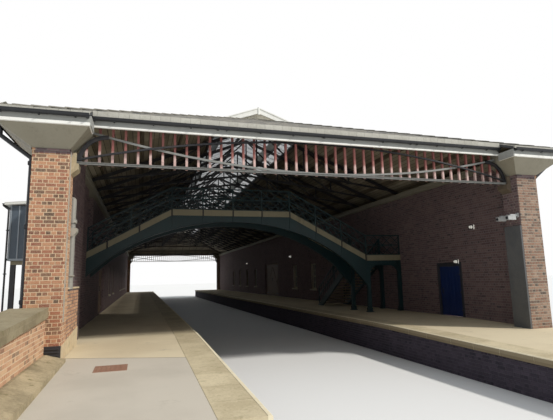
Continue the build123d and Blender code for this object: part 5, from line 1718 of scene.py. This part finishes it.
def window_parts():
    """Glazing bars, inner beads and catches, brick lintels, outer sills and inner sills."""
    timber, brick, stone = Mesh(), Mesh(), Mesh()

    def lintel_brick(side, wall, out, a, b, low, high, lean=0.0):
        ring = [(a, low), (b, low), (b + lean, high), (a + lean, high)]
        brick.extrude_x(ring, side * (wall - out * 0.002), side * (wall + out * 0.008))

    rows = ((1, RIGHT_WINDOWS), (-1, LEFT_WINDOWS))
    for side, y in [(side, FRONT + distance) for side, row in rows for distance in row]:

        def put(mesh, x, along, z, chamfer=0.0):
            mesh.box((side * x[0], y + along[0], z[0]), (side * x[1], y + along[1], z[1]), chamfer)

        for dy, z in product((-0.07, 0.07), ((0.94, 1.33), (1.37, 1.76))):
            put(timber, (3.56, 3.584), (dy - 0.006, dy + 0.006), z)
        for z in (1.135, 1.565):
            put(timber, (3.56, 3.584), (-0.21, 0.21), (z - 0.006, z + 0.006))
        put(timber, (3.53, 3.545), (-0.03, 0.03), (1.33, 1.345), 0.002)
        for dy in (-0.255, 0.235):
            put(timber, (3.5, 3.52), (dy, dy + 0.02), (0.9, 1.8), 0.003)
        put(stone, (OUTER - 0.05, OUTER + 0.03), (-0.29, 0.29), (0.85, 0.898), 0.005)
        put(stone, (3.43, 3.505), (-0.295, 0.295), (0.892, 0.903), 0.003)
        for wall, out in WALL_FACES:
            for index, (a, b) in enumerate(shares(y - 0.305, y + 0.305, 11, 0.0025)):
                lintel_brick(side, wall, out, a, b, 1.806, 1.915, (index - 5) * 0.008)
    # Upright brick lintels over the door and the wide doorways
    for side, y, half, low in ((1, -12.93, 0.37, 1.53), (1, -0.05, 1.16, 2.006), (-1, -7.6, 0.81, 1.806)):
        for a, b in shares(y - half, y + half, round(2 * half / 0.0555), 0.0025):
            for wall, out in WALL_FACES:
                lintel_brick(side, wall, out, a, b, low, low + 0.112)
    timber.finish("window_bars", "frame_timber", "frame_timber")
    brick.finish("brick_lintels", "brick_dark", "brick")
    stone.finish("window_sill_caps", "stone", "stone")


def closed_door_boards():
    """Boards, rails and hinges of the two wide closed doorways."""
    boards, iron = Mesh(), Mesh()
    for side, y, half, top in ((1, -0.05, 1.1, 2.0), (-1, -7.6, 0.75, 1.8)):
        middle = (PLATFORM + top) / 2
        for face, out in ((3.5425, -1), (3.6025, 1)):
            near, far = side * (face - out * 0.001), side * (face + out * 0.007)
            for first, second in lengths(spaced(y - half + 0.004, y + half - 0.004, 0.1), 0.002):
                boards.box((near, first, PLATFORM + 0.012), (far, second, top - 0.008), 0.002)
        for z in (PLATFORM + 0.08, middle - 0.05, top - 0.18):
            for start, end in ((y - half + 0.02, y - 0.01), (y + 0.01, y + half - 0.02)):
                boards.box((side * 3.52, start, z), (side * 3.537, end, z + 0.09), 0.004)
        for sign in SIDES:
            foot = (side * 3.528, y + sign * (half - 0.08), PLATFORM + 0.2)
            head = (side * 3.528, y + sign * 0.06, top - 0.2)
            boards.bar(foot, head, 0.07, 0.014, up=(1, 0, 0))
            low, high = sorted((y + sign * half * 0.98, y + sign * half * 0.55))
            for z in (PLATFORM + 0.12, top - 0.14):
                iron.box((side * 3.514, low, z - 0.014), (side * 3.521, high, z + 0.014), 0.003)
                bolts = [(side * 3.514, place, z) for place in spaced(low + 0.03, high - 0.03, 0.12)]
                iron.rivets(bolts, (-side, 0, 0), 0.008)
        iron.box((side * 3.508, y - 0.012, middle - 0.06), (side * 3.53, y + 0.012, middle + 0.06), 0.003)
    boards.finish("closed_door_boards", "closed_door_timber", "closed_door_timber")
    iron.finish("closed_door_straps", "pipe_iron", "closed_door_timber")


# ---- Lamps, cameras and pipes
def lamp_parts():
    """Guards of the wall lamps."""
    iron = Mesh()
    for y, z in ((-13.7, 2.18), (-3.0, 2.18), (5.0, 2.18), (-13.2, 1.56)):
        for dy in (-0.022, 0.022):
            for sign in SIDES:
                iron.bar((3.446, y + dy, z + sign * 0.036), (3.394, y + dy, z + sign * 0.03), 0.004, 0.004)
            iron.bar((3.396, y + dy, z - 0.03), (3.396, y + dy, z + 0.03), 0.004, 0.004)
        iron.box((3.44, y - 0.044, z - 0.044), (3.45, y + 0.044, z + 0.044), 0.003)
    iron.finish("lamp_guards", "pipe_iron", "lamp_white")


def camera_parts():
    """Hoods, lenses and wall plates of the two cameras."""
    shell, dark = Mesh(), Mesh()
    for y in (-14.94, -14.74):
        shell.box((3.058, y - 0.034, 2.208), (3.222, y + 0.034, 2.216), 0.003)
        shell.box((3.262, y - 0.03, 2.19), (3.276, y + 0.03, 2.262), 0.004)
        dark.disc((3.065, y, 2.18), (-1, 0, 0), 0.022, 0.012, 12, 0.9)
        dark.disc((3.245, y, 2.205), DOWN, 0.014, 0.012, 8)
    shell.finish("camera_hoods", "camera_grey", "camera_grey")
    dark.finish("camera_lenses", "pipe_iron", "camera_grey")


def pipe_parts():
    """Brackets and sockets of the downpipes, and the pipes and conduit beside the left pier."""
    black, grey = Mesh(), Mesh()
    for side, sign in product(SIDES, repeat=2):
        y = sign * -PIPE_LINE
        for z in (0.25, 1.1, 1.95, 2.7):
            black.box((side * 3.672, y - 0.032, z), (side * 3.742, y + 0.032, z + 0.05), 0.006)
            black.box((side * 3.668, y - 0.06, z + 0.012), (side * 3.69, y + 0.06, z + 0.036), 0.003)
    x, y = -PIER_INNER, -14.605
    for z in (1.4, 2.05):
        grey.box((x - 0.052, y - 0.052, z), (x + 0.052, y + 0.052, z + 0.02), 0.006)
    hopper = [(-3.318, 1.94), (-3.3, 1.885), (-3.245, 1.885)]
    hopper += [(-3.205, 1.94), (-3.205, 1.985), (-3.318, 1.985)]
    grey.extrude_y(hopper, -14.668, -14.542)
    grey.bar((-3.298, -13.66, 0.505), (-3.298, -13.66, 1.25), 0.022, 0.022, up=(0, 1, 0))
    for z in (0.6, 1.1):
        grey.box((-3.32, -13.68, z), (-3.283, -13.64, z + 0.014), 0.002)
    grey.bar((-3.268, -14.96, 0.9), (-3.268, -14.96, 2.86), 0.014, 0.014, up=(0, 1, 0))
    for z in spaced(1.0, 2.8, 0.45):
        grey.box((-3.276, -14.974, z), (-3.258, -14.946, z + 0.012), 0.002)
    black.finish("pipe_brackets", "pipe_iron", "pipe_iron")
    grey.finish("post_pipe_bands", "conduit", "pipe_iron")


make_camera()
bpy.context.scene.view_settings.view_transform = "Standard"
make_stage()
make_light()
dress_nodes()
pier_bricks()
boundary_bricks()
platform_bricks()
inner_wall_bricks()
side_slates(1, "right_slates")
side_slates(-1, "left_slates")
end_slates()
hip_tiles()
coping_stones()
drain_cover()
boundary_stones()
pier_plinth()
girder_iron()
bar_shoes()
fascia_trim()
half_round_gutters()
box_mouldings()
truss_gussets()
lantern_parts()
eaves_slates()
bridge_iron()
bridge_lattice()
deck_boards()
column_trim()
stair_trim()
house_trim()
door_parts()
frame_trim()
window_parts()
closed_door_boards()
lamp_parts()
camera_parts()
pipe_parts()
plate_trim()
